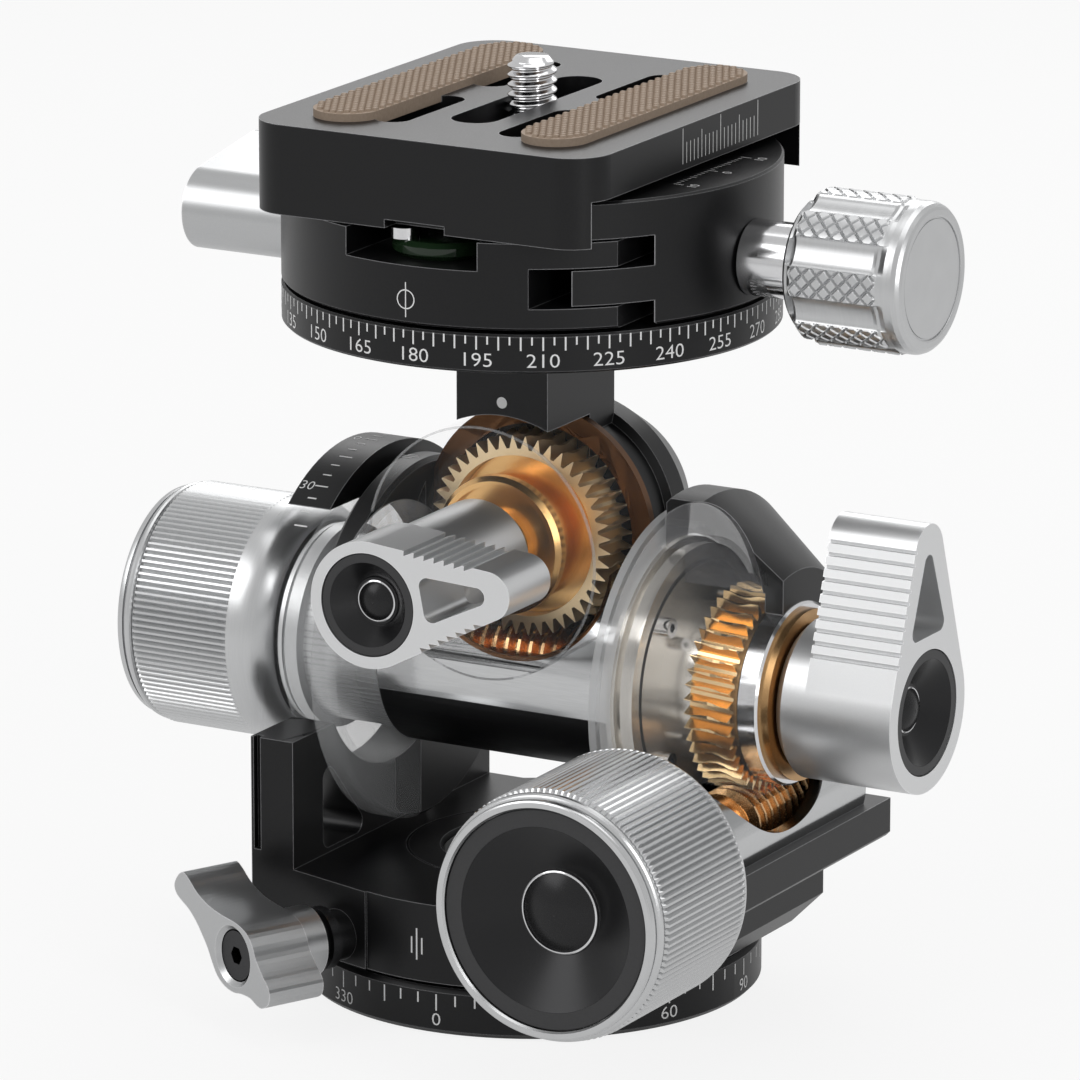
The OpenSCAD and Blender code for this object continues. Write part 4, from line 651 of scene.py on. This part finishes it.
# Inserts: flat outer ring, cone down to the dome, and a bright ring at or round the dome's rim
FACE_STEP, FACE_THICK, CONE_LAP, CONE_GAP = 0.15, 0.5, 0.02, 0.35
for name, body, place, gloss, face, outer, lip, depth, dome, rim_step in (
        ("pitch_knob_dish", "pitch_knob_body", front_knob_place, gloss_y, 0.5, 14.15, 11.9, 4.2, 5.1, 0.12),
        ("roll_knob_dish", "roll_knob_body", left_knob_place, gloss_x, 0.5, 14.15, 11.9, 4.2, 5.1, 0.12),
        ("pitch_lever_dish", "pitch_lever_body", pitch_lever_place, gloss_x, 0.1, 8.15, 6.9, 2.8, 3.0, -0.12),
        ("roll_lever_dish", "roll_lever_body", roll_lever_place, gloss_y, 0.1, 6.65, 5.45, 2.4, 2.7, -0.12)):
    back, rim = face + FACE_THICK, dome + rim_step
    lathed(name + "_face", [(face, lip), (face, outer - FACE_STEP), (face + FACE_STEP, outer), (back, outer),
                            (back, lip)], place, black_face, body, [name])
    lathed(name + "_cone", [(face + CONE_LAP, lip - CONE_LAP), (depth, dome + CONE_GAP), (depth, dome / 2),
                            (depth + FACE_THICK, dome / 2), (depth + FACE_THICK, lip - FACE_THICK),
                            (back, lip - CONE_LAP)], place, gloss, body)
    lathed(name + "_ring", [(depth - 0.18, rim - 0.12), (depth - 0.22, rim), (depth - 0.15, rim + 0.14),
                            (depth + CONE_LAP, rim + 0.14), (depth + CONE_LAP, rim - 0.12)], place, polished, body)

# Thin line where the clear roll housing's front edge shows
HOUSING_R, HOUSING_FRONT, HOUSING_LINE = 16.7, -13.4, 0.3
lathed("housing_outline", [(HOUSING_FRONT, HOUSING_R), (HOUSING_FRONT, HOUSING_R - HOUSING_LINE),
                           (HOUSING_FRONT + HOUSING_LINE, HOUSING_R - HOUSING_LINE),
                           (HOUSING_FRONT + HOUSING_LINE, HOUSING_R)],
       lambda t, a, b: (a, t, ROLL_MM + b), pale_ghost, "tilt_body")

# Camera screw: a 1/4 inch thread of 20 turns to the inch over the plain pin
THREAD_PITCH = 1.27 * MM
THREAD_DEPTH = 0.62 * MM
THREAD_CREST, THREAD_FLANK = 0.16, 0.36
screw_low, screw_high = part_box("camera_screw")
SCREW_R = 3.175 * MM
SCREW_TOP_BEVEL, SCREW_EDGE = 0.55 * MM, 0.3 * MM
SCREW_HEAD_TOP = screw_low.z + 3.75 * MM


def thread_share(phase):
    """1 on the crest and 0 in the root, with straight flanks."""
    away = abs(phase % 1.0 - 0.5)
    return min(1.0, max(0.0, 1.0 - (away - THREAD_CREST / 2) / THREAD_FLANK))


def screw_radius(row, angle):
    z, kind = row
    if kind is not None:
        return kind
    phase = z / THREAD_PITCH - angle / (2 * math.pi)
    ends = min(1.0, max(0.0, (screw_high.z - SCREW_TOP_BEVEL - z) / (0.5 * THREAD_PITCH)))
    return SCREW_R - THREAD_DEPTH * (1.0 - thread_share(phase) * ends)


screw_rows = [(screw_low.z, 2.0 * MM), (screw_low.z, screw_high.x - SCREW_EDGE),
              (screw_low.z + SCREW_EDGE, screw_high.x), (SCREW_HEAD_TOP, screw_high.x),
              (SCREW_HEAD_TOP, SCREW_R - THREAD_DEPTH)]
THREAD_ROWS = 170
for k in range(THREAD_ROWS):
    share = k / (THREAD_ROWS - 1)
    screw_rows.append((SCREW_HEAD_TOP + (screw_high.z - SCREW_TOP_BEVEL - SCREW_HEAD_TOP) * share, None))
screw_rows += [(screw_high.z - SCREW_TOP_BEVEL, SCREW_R - THREAD_DEPTH), (screw_high.z, SCREW_R - 1.05 * MM)]
points, faces = turned_field(screw_rows, 72, screw_radius, lambda t, a, b: (a, b, t))
mesh_piece("camera_screw_thread", points, faces, polished, "camera_screw_body", True, ["camera_screw"])

# Clamp knob: smooth flutes between lobes with a diamond knurl
KNOB_AXIS_Z = KNOB_AXIS_MM * MM
knob_low, knob_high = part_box("clamp_knob")
KNOB_R = 10.0 * MM
KNURL_FROM, KNURL_TO = knob_low.x + 1.5 * MM, knob_high.x - 3.2 * MM
KNURL_ALONG, KNURL_ROUND = 2.05 * MM, 30
KNURL_DEPTH, KNURL_GROOVE = 0.42 * MM, 0.30
FLUTES, FLUTE_DEPTH, FLUTE_HALF = 8, 0.9 * MM, math.radians(11.5)
FLUTE_END, FLUTE_FADE = 2.6 * MM, 1.6 * MM


def groove(phase):
    away = abs(phase % 1.0 - 0.5) * 2
    return max(0.0, (away - (1.0 - KNURL_GROOVE)) / KNURL_GROOVE)


def knob_radius(row, angle):
    x, base, worked = row
    turn = (angle / (2 * math.pi) * FLUTES) % 1.0 - 0.5
    away = abs(turn) * 2 * math.pi / FLUTES
    hollow = math.sqrt(max(0.0, 1.0 - (away / FLUTE_HALF) ** 2))
    run_out = min(1.0, max(0.0, (knob_high.x - FLUTE_END - x) / FLUTE_FADE))
    fluted = hollow * FLUTE_DEPTH * math.sqrt(run_out) if worked >= 0 else 0.0
    lobe = 0.0 if hollow > 0 or worked <= 0 else 1.0
    along, round_ = x / KNURL_ALONG, angle / (2 * math.pi) * KNURL_ROUND
    cut = max(groove(along + round_), groove(along - round_)) * KNURL_DEPTH * lobe * worked
    return base - max(fluted, cut)


knob_rows = [(knob_low.x, 6.0 * MM, -1), (knob_low.x, 8.2 * MM, -1), (knob_low.x + 0.5 * MM, 8.75 * MM, -1),
             (knob_low.x + 0.9 * MM, 8.8 * MM, 0)]
KNURL_ROWS, KNURL_FADE, KNURL_STEP = 150, 0.4 * MM, 0.25 * MM
for k in range(KNURL_ROWS + 1):
    x = KNURL_FROM + (KNURL_TO - KNURL_FROM) * k / KNURL_ROWS
    edge = min(1.0, (x - KNURL_FROM) / KNURL_FADE, (KNURL_TO - x) / KNURL_FADE)
    knob_rows.append((x, KNOB_R - (0.0 if edge > 0.99 else KNURL_STEP * (1 - edge)), max(0.0, edge)))
KNOB_END = ((2.9, 9.75, 0), (2.3, 9.7, 0), (1.7, 9.7, -1), (1.2, 9.68, -1), (0.6, 9.45, -1), (0.2, 9.1, -1),
            (0.0, 8.7, -1), (0.0, 8.0, -1), (0.12, 7.8, -1), (0.32, 7.75, -1), (0.32, 7.6, -1), (0.2, 7.55, -1),
            (0.2, 3.0, -1))
for along, r, worked in KNOB_END:
    knob_rows.append((knob_high.x - along * MM, r * MM, worked))
points, faces = turned_field(knob_rows, 960, knob_radius, lambda t, a, b: (t, a, KNOB_AXIS_Z + b))
mesh_piece("clamp_knob_knurled", points, [f[::-1] for f in faces], silver_x, "clamp_knob_body", False,
           ["clamp_knob"])

# Rubber strips: rows of small raised pads, staggered like brickwork
strip_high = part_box("grip_strips")[1]
PAD_ALONG, PAD_ACROSS, PAD_UP, PAD_SHARE = 1.0 * MM, 0.98 * MM, 0.32 * MM, 0.40
STRIP_HALF_W, STRIP_MID, PAD_MARGIN, PAD_ROOT, PAD_TAPER = 4.4 * MM, 15.1 * MM, 0.42 * MM, 0.05 * MM, 0.72
PAD_ROW_GAP = 0.93
points, faces = [], []
for side in (-1, 1):
    for j in range(-26, 27):
        for i in range(-5, 6):
            x = (i + (0.5 if j % 2 else 0.0)) * PAD_ACROSS
            y = j * PAD_ALONG * PAD_ROW_GAP
            end = max(0.0, abs(y) - (strip_high.y - STRIP_HALF_W))
            if math.hypot(x, end) > STRIP_HALF_W - PAD_MARGIN:
                continue
            start = len(points)
            for z, share in ((strip_high.z - PAD_ROOT, PAD_SHARE), (strip_high.z + PAD_UP, PAD_SHARE * PAD_TAPER)):
                for sx, sy in CORNERS:
                    points.append((side * STRIP_MID + x + sx * share * PAD_ACROSS, y + sy * share * PAD_ALONG, z))
            for a, b in ((0, 1), (1, 2), (2, 3), (3, 0)):
                faces.append((start + a, start + b, start + b + 4, start + a + 4))
            faces.append(tuple(start + 4 + k for k in range(4)))
            faces.append(tuple(start + 3 - k for k in range(4)))
mesh_piece("strip_pads", points, faces, tan, "plate_body")


# ---------------------------------------------------------------- stage, light, camera

def aim(obj, target):
    obj.rotation_euler = (Vector(target) - obj.location).to_track_quat("-Z", "Y").to_euler()


def area_light(name, place, target, size, power):
    data = bpy.data.lights.new(name, "AREA")
    data.shape = "RECTANGLE"
    data.size, data.size_y = size
    data.energy = power
    obj = bpy.data.objects.new(name, data)
    obj.location = place
    scene.collection.objects.link(obj)
    aim(obj, target)


# How much of the white sky and floor reflections see, the floor's own glow and the sky as a light
GLOSS_SHARE, FLOOR_GLOW, SKY_LIGHT = 0.5, 0.86, 0.40


def camera_or_gloss(tree, gloss_share):
    """1 where the camera looks or what it sees through clear parts, gloss_share in reflections, else 0."""
    path = tree.nodes.new("ShaderNodeLightPath")
    share = tree.nodes.new("ShaderNodeMath")
    share.operation = "MULTIPLY"
    share.inputs[1].default_value = gloss_share
    link(tree, path.outputs["Is Glossy Ray"], share.inputs[0])
    seen = tree.nodes.new("ShaderNodeMath")
    seen.operation = "MAXIMUM"
    link(tree, path.outputs["Is Camera Ray"], seen.inputs[0])
    link(tree, path.outputs["Is Transmission Ray"], seen.inputs[1])
    both = tree.nodes.new("ShaderNodeMath")
    both.operation = "MAXIMUM"
    link(tree, seen.outputs[0], both.inputs[0])
    link(tree, share.outputs[0], both.inputs[1])
    return both.outputs[0]


def floor_material():
    """Pale floor that reads as white where the camera looks, and keeps a light shadow."""
    mat, tree, shader = new_material("pale_floor")
    shader.inputs["Base Color"].default_value = (0.80, 0.80, 0.80, 1)
    shader.inputs["Roughness"].default_value = 0.9
    glow = tree.nodes.new("ShaderNodeEmission")
    glow.inputs["Color"].default_value = (1, 1, 1, 1)
    glow.inputs["Strength"].default_value = 1.0
    mix = tree.nodes.new("ShaderNodeMixShader")
    scale = tree.nodes.new("ShaderNodeMath")
    scale.operation = "MULTIPLY"
    scale.inputs[1].default_value = FLOOR_GLOW
    link(tree, camera_or_gloss(tree, GLOSS_SHARE), scale.inputs[0])
    link(tree, scale.outputs[0], mix.inputs["Fac"])
    link(tree, shader.outputs[0], mix.inputs[1])
    link(tree, glow.outputs[0], mix.inputs[2])
    link(tree, mix.outputs[0], tree.nodes["Material Output"].inputs["Surface"])
    return mat


FLOOR_HALF, FLOOR_Z = 3.0, -0.2 * MM
floor_mesh = bpy.data.meshes.new("floor")
floor_mesh.from_pydata([(x * FLOOR_HALF, y * FLOOR_HALF, FLOOR_Z) for x, y in CORNERS], [], [(0, 1, 2, 3)])
floor_mesh.materials.append(floor_material())
floor = mesh_object("floor", floor_mesh)

world = bpy.data.worlds.new("studio")
scene.world = world
world.use_nodes = True
tree = world.node_tree
background = tree.nodes["Background"]
background.inputs["Color"].default_value = (1, 1, 1, 1)
link(tree, spread(tree, camera_or_gloss(tree, GLOSS_SHARE), SKY_LIGHT, 1.0), background.inputs["Strength"])

CENTRE = (0, 0, 60 * MM)
area_light("key_left", (-0.45, -0.55, 0.55), CENTRE, (0.5, 0.5), 1.7)
area_light("strip_right", (0.60, -0.35, 0.35), CENTRE, (0.15, 0.6), 1.1)
area_light("top", (0.05, 0.1, 0.75), CENTRE, (0.6, 0.6), 1.3)
area_light("back_rim", (-0.2, 0.6, 0.45), CENTRE, (0.5, 0.3), 1.0)

CAM_AZ, CAM_EL = math.radians(29.475), math.radians(14.912)
CAM_DIST, CAM_AIM_Z, FOCAL_PX, SHIFT_PX, PHOTO_PX = 1.103334, 0.058113, 8535.717, 7.693, 1080
SENSOR_MM = 36.0
back = Vector((math.sin(CAM_AZ) * math.cos(CAM_EL), -math.cos(CAM_AZ) * math.cos(CAM_EL), math.sin(CAM_EL)))
camera_data = bpy.data.cameras.new("camera")
camera_data.sensor_width = SENSOR_MM
camera_data.lens = FOCAL_PX / PHOTO_PX * SENSOR_MM
camera_data.shift_x = SHIFT_PX / PHOTO_PX
camera_data.clip_start = 0.01
camera = bpy.data.objects.new("camera", camera_data)
scene.collection.objects.link(camera)
target = Vector((0, 0, CAM_AIM_Z))
camera.location = target + back * CAM_DIST
aim(camera, target)
scene.camera = camera
scene.view_settings.view_transform = "Standard"
